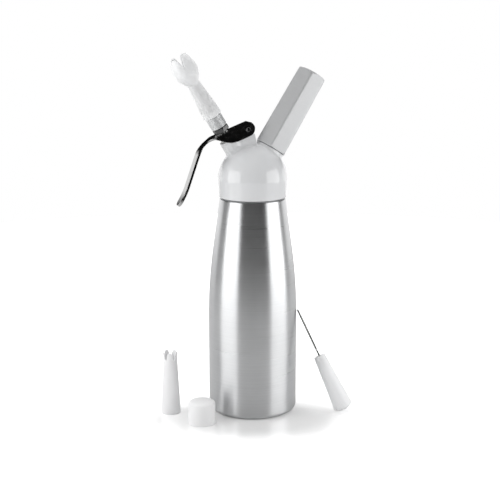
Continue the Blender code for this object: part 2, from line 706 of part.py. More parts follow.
def make_stem_seals(axes, mats):
    """The ring in the stem's groove, the disc that closes the valve and the nut that holds it."""
    root = STEM_RADIUS - RING_GROOVE_DEPTH
    ring_bottom = RING_GROOVE_START + GAP
    ring = tube(
        "stem_ring",
        root + GAP,
        STEM_RING_OUTER,
        ring_bottom,
        ring_bottom + RING_GROOVE_WIDTH - 2 * GAP,
        SMALL_STEPS,
        axes["stem"],
    )
    dress(ring, mats["rubber"])
    seal = tube("valve_seal", STEM_CLEAR, SEAL_RADIUS, SEAL_BOTTOM, SEAL_TOP, PIECE_STEPS, axes["stem"])
    dress(seal, mats["rubber"])
    nut_top = SEAL_BOTTOM - GAP
    nut = prism("seal_nut", SEAL_NUT_FLATS, nut_top - SEAL_NUT_THICKNESS, nut_top, parent=axes["stem"])
    bore_bottom = nut_top - SEAL_NUT_THICKNESS - OVERRUN
    combine(nut, rod("bore", STEM_CLEAR, bore_bottom, nut_top + OVERRUN, SMALL_STEPS, axes["stem"]))
    dress(nut, mats["steel"])


def make_collar(axes, mats):
    """The hexagonal collar that the lever presses on, with a flat towards the handle."""
    bottom, top = COLLAR_BOTTOM, COLLAR_BOTTOM + COLLAR_THICKNESS
    collar = prism("stem_collar", COLLAR_FLATS, bottom, top, 30.0, parent=axes["stem"])
    bore = rod("bore", STEM_CLEAR, bottom - OVERRUN, top + OVERRUN, SMALL_STEPS, axes["stem"])
    combine(collar, bore)
    dress(collar, mats["steel"])


def make_adaptor(axes, mats):
    root = ADAPTOR_RADIUS - ADAPTOR_THREAD_DEPTH
    outline = [(STEM_CLEAR, ADAPTOR_BOTTOM), (root, ADAPTOR_BOTTOM)]
    start = ADAPTOR_BOTTOM + ADAPTOR_THREAD_DEPTH
    outline += threaded(ADAPTOR_RADIUS, ADAPTOR_THREAD_DEPTH, start, ADAPTOR_SHOULDER, ADAPTOR_THREADS)
    outline += [(ADAPTOR_SPIGOT_RADIUS, ADAPTOR_SHOULDER), (ADAPTOR_SPIGOT_RADIUS, ADAPTOR_TOP)]
    outline += [(ADAPTOR_OUTLET, ADAPTOR_TOP), (ADAPTOR_OUTLET, STEM_TOP + GAP)]
    outline += [(STEM_CLEAR, STEM_TOP + GAP)]
    dress(turned("tip_adaptor", outline, PIECE_STEPS, axes["stem"]), mats["aluminium"])


def make_spring(axes, mats):
    """One helical wire from the valve boss to the stem's flange."""
    start = VALVE_BOSS_TOP + SPRING_WIRE_RADIUS + GAP
    rise = STEM_FLANGE_START - SPRING_WIRE_RADIUS - GAP - start
    count = SPRING_TURNS * SPRING_TURN_POINTS + 1
    points = []
    for i in range(count):
        share = i / (count - 1)
        angle = 2 * math.pi * SPRING_TURNS * share
        across = SPRING_RADIUS * math.cos(angle), SPRING_RADIUS * math.sin(angle)
        points.append(Vector((*across, start + rise * share)))
    curve = bpy.data.curves.new("valve_spring", "CURVE")
    curve.dimensions = "3D"
    curve.bevel_depth = SPRING_WIRE_RADIUS
    curve.bevel_resolution = 1
    curve.use_fill_caps = True
    spline = curve.splines.new("POLY")
    spline.points.add(count - 1)
    for point, place in zip(spline.points, points):
        point.co = (*place, 1.0)
    spring = bpy.data.objects.new("valve_spring", curve)
    bpy.context.scene.collection.objects.link(spring)
    spring.parent = axes["nozzle"]
    dress(spring, mats["steel"])
    print("valve_spring, least gap to itself in mm:", round(least_gap(points) * 1000, 2))


def least_gap(points):
    """The least distance between turns of the wire, surface to surface."""
    apart = SPRING_TURN_POINTS // 2
    pairs = [(a, b) for i, a in enumerate(points) for b in points[i + apart:]]
    return min((a - b).length for a, b in pairs) - 2 * SPRING_WIRE_RADIUS


def eased(table, place):
    """The value at a place from a table of (place, value), with soft steps between its entries."""
    if place <= table[0][0]:
        return table[0][1]
    for (start, first), (end, second) in zip(table, table[1:]):
        if place <= end:
            share = (1 - math.cos(math.pi * (place - start) / (end - start))) / 2
            return first + (second - first) * share
    return table[-1][1]


def lever_width(run):
    """The lever's width where its line has run so far from the pin."""
    return eased(
        (
            (LEVER_NARROWING_START, LEVER_WIDTH),
            (LEVER_WAIST_START, LEVER_WAIST_WIDTH),
            (LEVER_WAIST_END, LEVER_WAIST_WIDTH),
            (HANDLE_START, HANDLE_WIDTH),
        ),
        run,
    )


def lever_depth(run):
    """How far the flanges reach below the top beyond the ears."""
    return eased(((LEVER_WAIST_END, LEVER_WAIST_DEPTH), (HANDLE_START, HANDLE_DEPTH)), run)


def ear_stations():
    """Each station of the ears: place along and above the pivot, heading, half width and depth."""
    depth = LEVER_WEB_HEIGHT + LEVER_EAR_RADIUS
    stations = []
    for angle in EAR_ANGLES:
        along = -LEVER_EAR_RADIUS * math.cos(math.radians(angle))
        rise = LEVER_EAR_RADIUS * math.sin(math.radians(angle))
        top = min(rise, LEVER_WEB_HEIGHT)
        stations.append((along, top, 0.0, LEVER_WIDTH / 2, top + rise))
    for place, share in FLANGE_SHARES:
        along = LEVER_WEB_END * place
        stations.append((along, LEVER_WEB_HEIGHT, 0.0, lever_width(along) / 2, depth * share))
    return stations


def lever_stations():
    """All stations of the lever, from the ears over the bend to the handle's curled tip."""
    stations = ear_stations()
    bend_centre = (LEVER_WEB_END, LEVER_WEB_HEIGHT - LEVER_BEND_RADIUS)
    for i in range(BEND_STATIONS + 1):
        heading = LEVER_BEND_ANGLE * i / BEND_STATIONS
        turn = math.radians(heading)
        x = bend_centre[0] + LEVER_BEND_RADIUS * math.sin(turn)
        z = bend_centre[1] + LEVER_BEND_RADIUS * math.cos(turn)
        run = LEVER_WEB_END + LEVER_BEND_RADIUS * turn
        stations.append((x, z, heading, lever_width(run) / 2, lever_depth(run)))
    x, z = stations[-1][:2]
    turn = math.radians(LEVER_BEND_ANGLE)
    x += HANDLE_STRAIGHT * math.cos(turn)
    z -= HANDLE_STRAIGHT * math.sin(turn)
    curl_centre = (x + HANDLE_CURL_RADIUS * math.sin(turn), z + HANDLE_CURL_RADIUS * math.cos(turn))
    for share, width in CURL_SHARES:
        heading = LEVER_BEND_ANGLE - HANDLE_CURL_ANGLE * share
        turn = math.radians(heading)
        x = curl_centre[0] - HANDLE_CURL_RADIUS * math.sin(turn)
        z = curl_centre[1] - HANDLE_CURL_RADIUS * math.cos(turn)
        stations.append((x, z, heading, HANDLE_WIDTH / 2 * width, HANDLE_DEPTH))
    return stations


def make_lever(axes, mats):
    """A stamped channel whose web runs on into the narrower handle."""
    bm = bmesh.new()
    rings = []
    for along, height, heading, half, depth in lever_stations():
        turn = math.radians(heading)
        inward = (-math.sin(turn), -math.cos(turn))
        inner = half - LEVER_SHEET
        section = [(-half, 0.0), (half, 0.0), (half, depth), (inner, depth)]
        section += [(inner, LEVER_SHEET), (-inner, LEVER_SHEET), (-inner, depth), (-half, depth)]
        ring = [(-(along + inward[0] * s), y, height + inward[1] * s) for y, s in section]
        rings.append([bm.verts.new(point) for point in ring])
    for first, second in zip(rings, rings[1:]):
        for i in range(8):
            bm.faces.new((first[i - 1], first[i], second[i], second[i - 1]))
    bm.faces.new(rings[0])
    bm.faces.new(rings[-1])
    lever = object_of("lever", bm, axes["lever"])
    hole = rod("hole", LEVER_HOLE_RADIUS, -OVERRUN, LEVER_WEB_HEIGHT + OVERRUN, PIECE_STEPS, axes["lever"])
    hole.location.x = -LEVER_HOLE_PLACE
    combine(lever, hole)
    pin_hole = rod("pin_hole", PIN_RADIUS + GAP, -LEVER_WIDTH, LEVER_WIDTH, SMALL_STEPS, axes["lever"])
    pin_hole.rotation_euler = (math.pi / 2, 0.0, 0.0)
    combine(lever, pin_hole)
    dress(lever, mats["polished_steel"])


def make_lever_pin(axes, mats):
    ear = LEVER_WIDTH / 2 + GAP
    end = ear + PIN_HEAD_THICKNESS
    outline = [(0.0, -end), (PIN_HEAD_RADIUS, -end), (PIN_HEAD_RADIUS, -ear), (PIN_RADIUS, -ear)]
    outline += [(r, -z) for r, z in reversed(outline)]
    pin = turned("lever_pin", outline, SMALL_STEPS, axes["nozzle"])
    lie_across(pin)
    dress(pin, mats["steel"])


def make_holder(axes, mats):
    """The hexagonal charger holder: a drafted bar with turned ends and a stepped bore."""
    bottom, top = HOLDER_BOTTOM, HOLDER_BOTTOM + HOLDER_LENGTH
    holder = prism(
        "charger_holder", HOLDER_FLATS, bottom, top, HOLDER_TURN, HOLDER_TOP_FLATS, axes["charge"]
    )
    corner = HOLDER_FLATS / math.sqrt(3)
    top_corner = HOLDER_TOP_FLATS / math.sqrt(3)
    edge = HOLDER_EDGE
    outline = [(0.0, bottom), (corner - edge, bottom)]
    outline += [(corner + GAP, bottom + edge / 2)]
    outline += [(corner + GAP, top - 2 * edge)]
    outline += arc((top_corner - 2 * edge, top - 2 * edge), 2 * edge, 30.0, 90.0, 4)
    outline += [(0.0, top)]
    combine(holder, turned("ends", outline, PIECE_STEPS, axes["charge"]), "INTERSECT")
    throat = bottom + HOLDER_THREAD_DEPTH
    bore = [(0.0, bottom - OVERRUN), (PORT_RADIUS + GAP, bottom - OVERRUN), (PORT_RADIUS + GAP, throat)]
    bore += [(CHARGER_RADIUS + GAP, throat), (CHARGER_RADIUS + GAP, CHARGER_END - CHARGER_RADIUS)]
    bore += arc((0.0, CHARGER_END - CHARGER_RADIUS), CHARGER_RADIUS + GAP, 0.0, 90.0)[1:-1]
    bore += [(0.0, CHARGER_END + GAP)]
    combine(holder, turned("bore", bore, PIECE_STEPS, axes["charge"]))
    dress(holder, mats["satin_aluminium"])


def make_charger(axes, mats):
    """The sealed gas bulb inside the holder, modelled solid."""
    neck_end = CHARGER_START + CHARGER_NECK_LENGTH
    centre = (0.0, neck_end + CHARGER_RADIUS * math.cos(math.asin(CHARGER_NECK_RADIUS / CHARGER_RADIUS)))
    start = -math.degrees(math.acos(CHARGER_NECK_RADIUS / CHARGER_RADIUS))
    outline = [(0.0, CHARGER_START), (CHARGER_NECK_RADIUS, CHARGER_START)]
    outline += arc(centre, CHARGER_RADIUS, start, 0.0, 4)
    outline += arc((0.0, CHARGER_END - CHARGER_RADIUS), CHARGER_RADIUS, 0.0, 90.0)[:-1]
    outline += [(0.0, CHARGER_END)]
    charger = turned("gas_charger", outline, PIECE_STEPS, axes["charge"])
    dress(charger, mats["steel"])


def nozzle_mesh(name, outer, inner, levels, petals, petal_shares, notch, turn, parent):
    """A thin decorating nozzle whose mouth is cut into petals by notches.

    outer and inner give the radius at a height, and levels are the heights below the notches.
    """
    bm = bmesh.new()
    bottom = levels[0]
    socket_top = bottom + SOCKET_DEPTH
    columns = []
    for petal in range(petals):
        for place, share in petal_shares:
            columns.append((2 * math.pi * (petal + place) / petals + turn, share))
    rings = []
    for angle, share in columns:
        reach = levels[-1] + notch * share
        spread = reach - levels[-2]
        rows = range(1, NOTCH_ROWS + 1)
        tall = levels[:-1] + [levels[-2] + spread * row / NOTCH_ROWS for row in rows]
        outside = [(outer(z), z) for z in tall]
        bore = [(inner(z), z) for z in reversed(tall) if z > socket_top + NOZZLE_SOCKET_EDGE]
        bore += [(inner(socket_top + NOZZLE_SOCKET_EDGE), socket_top + NOZZLE_SOCKET_EDGE)]
        bore += [(SOCKET_RADIUS, socket_top), (SOCKET_RADIUS, bottom)]
        section = [(r * math.cos(angle), r * math.sin(angle), z) for r, z in outside + bore]
        rings.append([bm.verts.new(point) for point in section])
    for first, second in zip(rings, rings[1:] + rings[:1]):
        for i in range(len(first)):
            bm.faces.new((first[i - 1], first[i], second[i], second[i - 1]))
    return object_of(name, bm, parent)


def make_tulip_tip(axes, mats):
    bottom = TULIP_BOTTOM
    neck = bottom + TULIP_NECK_LENGTH
    mouth = neck + TULIP_BULB_LENGTH
    belly = neck + TULIP_BULB_LENGTH * TULIP_BELLY_SHARE

    def outer(z):
        if z <= neck:
            share = (z - bottom) / TULIP_NECK_LENGTH
            return TULIP_BASE_RADIUS + (TULIP_NECK_RADIUS - TULIP_BASE_RADIUS) * share
        if z <= belly:
            share = (z - neck) / (belly - neck)
            rise = math.sin(share * math.pi / 2) ** TULIP_SWELL_POWER
            return TULIP_NECK_RADIUS + (TULIP_BULB_RADIUS - TULIP_NECK_RADIUS) * rise
        share = (z - belly) / (mouth - belly)
        return TULIP_BULB_RADIUS + (TULIP_MOUTH_RADIUS - TULIP_BULB_RADIUS) * share ** TULIP_CLOSE_POWER

    def inner(z):
        return outer(z) - NOZZLE_WALL

    below = mouth - TULIP_NOTCH_DEPTH
    levels = [bottom, bottom + TULIP_NECK_LENGTH * TULIP_NECK_SHARE, neck]
    levels += [neck + TULIP_BULB_LENGTH * share for share in TULIP_BULB_SHARES]
    levels += [below]
    turn = math.radians(TULIP_TURN)
    petals = (TULIP_PETALS, TULIP_PETAL_SHARES, TULIP_NOTCH_DEPTH, turn)
    tip = nozzle_mesh("tulip_tip", outer, inner, levels, *petals, axes["tulip"])
    dress(tip, mats["white_tip"])


def make_star_tip(axes, mats):
    shoulder = STAR_HEIGHT - STAR_NOTCH_DEPTH

    def outer(z):
        if z <= shoulder:
            return STAR_BASE_RADIUS + (STAR_TOP_RADIUS - STAR_BASE_RADIUS) * z / shoulder
        share = (z - shoulder) / STAR_NOTCH_DEPTH
        return STAR_TOP_RADIUS + (STAR_MOUTH_RADIUS - STAR_TOP_RADIUS) * share

    def inner(z):
        return outer(z) - NOZZLE_WALL

    levels = [0.0] + [shoulder * share for share in STAR_LEVEL_SHARES]
    turn = math.radians(STAR_TURN)
    petals = (STAR_PETALS, STAR_PETAL_SHARES, STAR_NOTCH_DEPTH, turn)
    tip = nozzle_mesh("star_tip", outer, inner, levels, *petals, axes["star"])
    dress(tip, mats["white_tip"])


def make_cap(axes, mats):
    """The protective cap of the gas port, standing on its rim."""
    bore = PORT_RADIUS + GAP
    depth = CAP_SIDE_HEIGHT + CAP_DOME_RISE - CAP_CEILING_THICKNESS
    outline = [(0.0, depth), (bore - CAP_CEILING_EDGE, depth), (bore, depth - CAP_CEILING_EDGE)]
    outline += [(bore, 0.0), (CAP_RADIUS, 0.0)]
    for width, rise in CAP_DOME_SHARES:
        outline += [(CAP_RADIUS * width, CAP_SIDE_HEIGHT + CAP_DOME_RISE * rise)]
    dress(turned("thread_cap", outline, PIECE_STEPS, axes["cap"]), mats["white_plastic"])


def bottle_radius_at(height):
    """The bottle's outside radius at a height on its wall."""
    cone = math.radians(BOTTLE_CONE_ANGLE)
    corner = BOTTLE_SHOULDER_HEIGHT - (BOTTLE_RADIUS - BOTTLE_SHOULDER_RADIUS) / math.tan(cone)
    into_blend = height - (corner - BOTTLE_BLEND_RADIUS * math.tan(cone / 2))
    if into_blend <= 0.0:
        return BOTTLE_RADIUS
    if into_blend < BOTTLE_BLEND_RADIUS * math.sin(cone):
        return BOTTLE_RADIUS - BOTTLE_BLEND_RADIUS + math.sqrt(BOTTLE_BLEND_RADIUS ** 2 - into_blend ** 2)
    return BOTTLE_SHOULDER_RADIUS + (BOTTLE_SHOULDER_HEIGHT - height) * math.tan(cone)


def brush_line():
    """The brush's foot on the floor and the unit vector along its wire."""
    bearing = math.radians(BRUSH_TIP_BEARING)
    reach = bottle_radius_at(BRUSH_TIP_HEIGHT) + BRUSH_WIRE_RADIUS + GAP
    tip = Vector((reach * math.cos(bearing), reach * math.sin(bearing), BRUSH_TIP_HEIGHT))
    foot = Vector((*BRUSH_FOOT, 0.0))
    lean = (tip - foot).normalized()
    dome = sphere_radius(BRUSH_HANDLE_BOTTOM_RADIUS - BRUSH_HANDLE_EDGE, BRUSH_HANDLE_DOME)
    foot = foot + lean * (dome * (1 - lean.z) / lean.z)
    return foot, lean, (tip - foot).length


def sphere_radius(rim, height):
    """The radius of the sphere whose cap has this rim and this height."""
    return (rim ** 2 + height ** 2) / (2 * height)


def make_brush_handle(axes, mats):
    rim = BRUSH_HANDLE_BOTTOM_RADIUS - BRUSH_HANDLE_EDGE
    dome = BRUSH_HANDLE_DOME
    radius = sphere_radius(rim, dome)
    spread = math.degrees(math.asin(rim / radius))
    outline = [(0.0, 0.0)]
    outline += arc((0.0, radius), radius, -90.0, -90.0 + spread, 4)[1:]
    outline += [(BRUSH_HANDLE_BOTTOM_RADIUS, dome + BRUSH_HANDLE_EDGE)]
    top_edge = BRUSH_HANDLE_EDGE
    outline += [(BRUSH_HANDLE_TOP_RADIUS, BRUSH_HANDLE_LENGTH - top_edge)]
    outline += [(BRUSH_HANDLE_TOP_RADIUS - top_edge, BRUSH_HANDLE_LENGTH)]
    bore = BRUSH_WIRE_RADIUS + GAP
    floor = BRUSH_HANDLE_LENGTH - BRUSH_SOCKET_DEPTH
    outline += [(bore, BRUSH_HANDLE_LENGTH), (bore, floor), (0.0, floor)]
    dress(turned("brush_handle", outline, PIECE_STEPS, axes["brush"]), mats["white_tip"])


def make_brush_wire(axes, mats, reach):
    start = BRUSH_HANDLE_LENGTH - BRUSH_SOCKET_DEPTH + GAP
    end = reach - BRISTLE_ZONE - GAP
    dress(rod("brush_wire", BRUSH_WIRE_RADIUS, start, end, WIRE_STEPS, axes["brush"]), mats["steel"])


def bristle_reach(foot, lean, start, direction):
    """How far a bristle goes before it would touch the bottle."""
    base = foot + lean * start
    room = bottle_radius_at(base.z) + 2 * GAP
    a = direction.x ** 2 + direction.y ** 2
    b = base.x * direction.x + base.y * direction.y
    c = base.x ** 2 + base.y ** 2 - room ** 2
    inside = b * b - a * c
    if inside <= 0.0 or b >= 0.0:
        return BRISTLE_LENGTH
    return min(BRISTLE_LENGTH, (-b - math.sqrt(inside)) / a)


def make_bristles(axes, mats, foot, lean, reach):
    """The last stretch of the wire with its bristles, shortened where they rest on the bottle."""
    start = reach - BRISTLE_ZONE
    core = rod("brush_bristles", BRUSH_WIRE_RADIUS, start, reach, WIRE_STEPS, axes["brush"])
    turn = axes["brush"].rotation_euler.to_matrix()
    bm = bmesh.new()
    margin = BRISTLE_RADIUS * 4
    pitch = (BRISTLE_ZONE - 2 * margin) / (BRISTLE_COUNT - 1)
    for i in range(BRISTLE_COUNT):
        height = start + margin + pitch * i
        angle = math.radians(BRISTLE_TURN + GOLDEN_ANGLE * i)
        outward = Vector((math.cos(angle), math.sin(angle), 0.0))
        length = bristle_reach(foot, lean, height, turn @ outward)
        if length < BRISTLE_LEAST:
            continue
        root = BRUSH_WIRE_RADIUS / 2
        turned_to = Vector((0.0, 0.0, 1.0)).rotation_difference(outward).to_matrix().to_4x4()
        middle = Vector((0.0, 0.0, height)) + outward * (root + length) / 2
        bmesh.ops.create_cone(
            bm,
            cap_ends=True,
            segments=BRISTLE_SIDES,
            radius1=BRISTLE_RADIUS,
            radius2=BRISTLE_RADIUS,
            depth=length - root,
            matrix=Matrix.Translation(middle) @ turned_to,
        )
    join(core, object_of("bristles", bm, axes["brush"]))
    dress(core, mats["bristle"])


def make_materials():
    return {
        "aluminium": material("brushed aluminium", (0.72, 0.73, 0.74), 0.32, 1.0),
        "satin_aluminium": material("satin aluminium", (0.66, 0.67, 0.68), 0.38, 1.0),
        "steel": material("stainless steel", (0.62, 0.62, 0.62), 0.28, 1.0),
        "polished_steel": material("polished stainless steel", (0.60, 0.60, 0.61), 0.08, 1.0),
        "brass_plated": material("nickel plated brass", (0.68, 0.66, 0.60), 0.25, 1.0),
        "white_gloss": material("white gloss plastic", (0.86, 0.87, 0.88), 0.15),
        "white_plain": material("white moulded plastic", (0.80, 0.80, 0.80), 0.45),
        "white_plastic": material("white cap plastic", (0.88, 0.88, 0.88), 0.35),
        "white_tip": material("translucent white plastic", (0.90, 0.90, 0.91), 0.35, 0.0, 0.15),
        "rubber": material("white silicone rubber", (0.70, 0.70, 0.69), 0.6),
        "bristle": material("clear nylon bristle", (0.90, 0.90, 0.90), 0.5),
    }


def make_axes(brush_foot, brush_lean):
    """One empty for each body's axis."""
    tilt = math.radians(NOZZLE_TILT)
    across = PIVOT_OFFSET * math.cos(tilt) - PIVOT_HEIGHT * math.sin(tilt)
    up = NOZZLE_CROSS_HEIGHT + PIVOT_OFFSET * math.sin(tilt) + PIVOT_HEIGHT * math.cos(tilt)
    nozzle_place = (0.0, 0.0, NOZZLE_CROSS_HEIGHT)
    holder_place = (0.0, 0.0, HOLDER_CROSS_HEIGHT)
    nozzle_turn = (0.0, -tilt, 0.0)
    holder_turn = (0.0, math.radians(HOLDER_TILT), 0.0)
    brush_turn = Vector((0.0, 0.0, 1.0)).rotation_difference(brush_lean).to_euler()
    head = empty("head_axis", (0.0, 0.0, 0.0))
    return {
        "head": head,
        "nozzle": empty("nozzle_axis", nozzle_place, nozzle_turn, head),
        "stem": empty("stem_axis", nozzle_place, nozzle_turn, head),
        "tulip": empty("tulip_axis", nozzle_place, nozzle_turn, head),
        "holder": empty("gas_port_axis", holder_place, holder_turn, head),
        "charge": empty("charger_holder_axis", holder_place, holder_turn, head),
        "lever": empty("lever_pivot", (across, 0.0, up), (0.0, -math.radians(LEVER_SLOPE), 0.0), head),
        "star": empty("star_tip_axis", (*STAR_PLACE, 0.0)),
        "cap": empty("thread_cap_axis", (*CAP_PLACE, 0.0)),
        "brush": empty("brush_axis", brush_foot, brush_turn),
    }


def report(axes):
    """Print the places that the record needs."""
    pressed = DELTA_REST - math.radians(LEVER_STROKE)
    low = LEVER_WEB_HEIGHT / math.cos(pressed) + PRESS_REACH * math.tan(pressed)
    travel = COLLAR_BOTTOM - GAP - PIVOT_HEIGHT - low
    print("stem travel in mm:", round(travel * 1000, 3))
    print("stem travel in m per rad:", round(travel / math.radians(LEVER_STROKE), 6))
    for name, obj in axes.items():
        print(name, "axis at", [round(value, 5) for value in obj.location])


def build():
    clear_scene()
    mats = make_materials()
    foot, lean, reach = brush_line()
    axes = make_axes(foot, lean)
    bpy.context.view_layer.update()
    make_bottle(mats)
    make_head_cover(axes, mats)
    make_head_insert(axes, mats)
    make_head_seals(axes, mats)
    make_valve_nut(axes, mats)
    make_gas_port(axes, mats)
    make_stem(axes, mats)
    make_stem_seals(axes, mats)
    make_collar(axes, mats)
    make_adaptor(axes, mats)
    make_spring(axes, mats)
    make_lever(axes, mats)
    make_lever_pin(axes, mats)
    make_holder(axes, mats)
    make_charger(axes, mats)
    make_tulip_tip(axes, mats)
    make_star_tip(axes, mats)
    make_cap(axes, mats)
    make_brush_handle(axes, mats)
    make_brush_wire(axes, mats, reach)
    make_bristles(axes, mats, foot, lean, reach)
    report(axes)


build()
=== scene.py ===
# %% [markdown]
# # A whipped cream dispenser, dressed for its portrait
# The frame brings the engineering solids: every node of the dispenser is already in its place, in
# metres, with Z up and the origin under the middle of the bottle. This lesson gives the visible
# pieces finer meshes with rounded edges, gives every piece a material that starts from the real one,
# and lights them in a plain white studio.

from math import asin, atan2, cos, degrees, pi, radians, sin, sqrt, tan

import bmesh
import bpy
import numpy as np
from mathutils import Matrix, Vector


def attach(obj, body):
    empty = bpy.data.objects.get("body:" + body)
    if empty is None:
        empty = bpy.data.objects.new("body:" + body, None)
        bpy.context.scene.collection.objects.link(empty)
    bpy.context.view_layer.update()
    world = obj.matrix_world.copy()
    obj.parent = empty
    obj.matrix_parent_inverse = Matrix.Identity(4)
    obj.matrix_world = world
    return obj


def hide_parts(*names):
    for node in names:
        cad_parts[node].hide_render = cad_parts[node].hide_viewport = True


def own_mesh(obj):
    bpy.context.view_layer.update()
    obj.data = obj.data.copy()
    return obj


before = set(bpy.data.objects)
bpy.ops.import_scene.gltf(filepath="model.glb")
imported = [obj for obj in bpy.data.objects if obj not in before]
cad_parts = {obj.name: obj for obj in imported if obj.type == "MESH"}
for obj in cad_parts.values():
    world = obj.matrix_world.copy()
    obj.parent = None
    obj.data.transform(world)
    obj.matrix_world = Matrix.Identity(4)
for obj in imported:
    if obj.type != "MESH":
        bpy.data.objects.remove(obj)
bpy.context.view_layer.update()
scene = bpy.context.scene
link = scene.collection.objects.link
UP = Vector((0.0, 0.0, 1.0))
print("nodes in the frame:", len(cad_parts))

# %% [markdown]
# ## The camera
# The photograph was taken from one metre away, a little to the left of straight ahead and looking
# down twelve degrees. A lens is given by its focal length in pixels, because that is what can be
# measured from a picture; Blender wants millimetres on a sensor, so it is turned into those.

# %% Camera
PHOTO_SIDE = 500
FOCAL_PIXELS = 1028.0
AXIS_COLUMN = 252.6
CAMERA_DISTANCE = 1.000
CAMERA_HEIGHT = 0.373
CAMERA_BEARING = radians(-20.0)
CAMERA_PITCH = radians(11.88)
SENSOR_WIDTH = 36.0
NEAREST_SEEN = 0.05

towards_camera = Vector((sin(CAMERA_BEARING), -cos(CAMERA_BEARING), 0.0))
camera_data = bpy.data.cameras.new("portrait_camera")
camera_data.sensor_width = SENSOR_WIDTH
camera_data.lens = FOCAL_PIXELS / PHOTO_SIDE * SENSOR_WIDTH
camera_data.shift_x = (PHOTO_SIDE / 2 - AXIS_COLUMN) / PHOTO_SIDE
camera_data.clip_start = NEAREST_SEEN
camera = bpy.data.objects.new("portrait_camera", camera_data)
camera.location = towards_camera * CAMERA_DISTANCE + UP * CAMERA_HEIGHT
camera.rotation_euler = (pi / 2 - CAMERA_PITCH, 0.0, CAMERA_BEARING)
link(camera)
scene.camera = camera
print("camera at", [round(value, 3) for value in camera.location])

# %% [markdown]
# ## Small helpers
# Two functions put a mesh into the scene and give the mesh that a modifier makes.

# %% Helpers for objects
def as_object(name, bm):
    """A new object in the scene whose mesh is bm."""
    mesh = bpy.data.meshes.new(name)
    bm.to_mesh(mesh)
    bm.free()
    obj = bpy.data.objects.new(name, mesh)
    link(obj)
    return obj


def modified(obj, kind, **settings):
    """The mesh that an object gets through one modifier."""
    modifier = obj.modifiers.new(kind.title(), kind)
    for key, value in settings.items():
        setattr(modifier, key, value)
    graph = bpy.context.evaluated_depsgraph_get()
    mesh = bpy.data.meshes.new_from_object(obj.evaluated_get(graph))
    obj.modifiers.clear()
    return mesh


# %% [markdown]
# Colours are written as sRGB hex values, the way a paint program shows them, and one function turns
# them into the linear numbers that Blender's shaders work with. The other functions add one node each
# with its settings and its links, so that a material reads as a list of what it is made of.

# %% Helpers for colours and nodes
MM = 0.001
WHITE = (1.0, 1.0, 1.0, 1.0)
USUAL_NOISE = (0.3, 0.7)


def paint(code):
    """The linear colour of an sRGB hex value such as #C0C0C0."""
    parts = [int(code[i:i + 2], 16) / 255 for i in (1, 3, 5)]
    linear = [p / 12.92 if p <= 0.04045 else ((p + 0.055) / 1.055) ** 2.4 for p in parts]
    return (*linear, 1.0)


def add(tree, kind, inputs=None, **settings):
    """Add one shader node; an input is a value, or the socket that feeds it."""
    made = tree.nodes.new("ShaderNode" + kind)
    for name, value in settings.items():
        setattr(made, name, value)
    for key, value in (inputs or {}).items():
        if isinstance(value, bpy.types.NodeSocket):
            tree.links.new(value, made.inputs[key])
        else:
            made.inputs[key].default_value = value
    return made


def figure(tree, operation, *values):
    """The result of one arithmetic step on numbers or sockets."""
    return add(tree, "Math", dict(enumerate(values)), operation=operation).outputs[0]


def dress(shader, **sources):
    """Set sockets of a shader, such as base_color, to values or to the sockets that feed them."""
    for key, source in sources.items():
        socket = shader.inputs[key.replace("_", " ").title().replace("Ior", "IOR")]
        if isinstance(source, bpy.types.NodeSocket):
            shader.id_data.links.new(source, socket)
        else:
            socket.default_value = source


def begin(name, **sockets):
    """A new material, its tree, its shader with some constant sockets set, and its coordinates."""
    mat = bpy.data.materials.new(name)
    mat.use_nodes = True
    tree = mat.node_tree
    shader = tree.nodes["Principled BSDF"]
    dress(shader, **sockets)
    return mat, tree, shader, add(tree, "TexCoord").outputs["Object"]


def noise(tree, place, cell, detail=3.0, stretch=(1.0, 1.0, 1.0)):
    """Noise whose cells measure about cell metres, times the stretch on each axis."""
    scale = [1.0 / (cell * part) for part in stretch]
    mapped = add(tree, "Mapping", {"Vector": place, "Scale": scale}).outputs["Vector"]
    return add(tree, "TexNoise", {"Vector": mapped, "Scale": 1.0, "Detail": detail}).outputs[0]


def spread(tree, value, low, high, given=USUAL_NOISE, **settings):
    """The value, which lies in the given range, spread from low to high."""
    limits = {"Value": value, "From Min": given[0], "From Max": given[1], "To Min": low, "To Max": high}
    return add(tree, "MapRange", limits, **settings).outputs["Result"]


def tint(tree, factor, dark, light):
    """A colour between two hex values; the node's own sockets 6 and 7 are for colours."""
    return add(tree, "Mix", {0: factor, 6: paint(dark), 7: paint(light)}, data_type="RGBA").outputs[2]


def bump(tree, height, depth, **under):
    """A bump whose full height is depth metres, on the Normal under it if one is given."""
    inputs = {"Height": height, "Strength": 1.0, "Distance": depth, **under}
    return add(tree, "Bump", inputs).outputs["Normal"]


# %% [markdown]
# ## The studio
# The object stands on a white table in a dark studio. Two softboxes stand on the table to the left
# and to the right in front of it, a third hangs above and a fourth high on the left, and a white sweep
# closes the back. The metal shows the first two and the sweep as light bands and edges, and the room as
# dark ones. Behind the camera the room is a little lighter, which the bottle's middle band shows.
# The world holds the room and the sweep, by direction, and is plain white for the camera's own rays,
# so the background is white without more light on the object. Dull surfaces get an even fill as well.

# %% The room around the object
SWEEP_TOP = radians(9.0)
SWEEP_HALF = radians(62.0)
SIDE_HALF = radians(98.0)
FRONT_HALF = radians(26.0)
ROOM_DARK = 0.006
ROOM_FRONT = 0.09
ROOM_SIDE = 0.42
SWEEP_LIGHT = 0.7
FILL_LIGHT = 0.39
SOFT_EDGE = radians(6.0)

world = bpy.data.worlds.new("white_studio")
scene.world = world
world.use_nodes = True
sky = world.node_tree
sky.nodes.clear()
toward = add(sky, "TexCoord").outputs["Generated"]
away = towards_camera * -1.0
side = Vector((-away.y, away.x, 0.0))


def along(tree, direction, axis):
    """How much of a direction lies along an axis."""
    pair = {0: direction, 1: tuple(axis)}
    return add(tree, "VectorMath", pair, operation="DOT_PRODUCT").outputs["Value"]


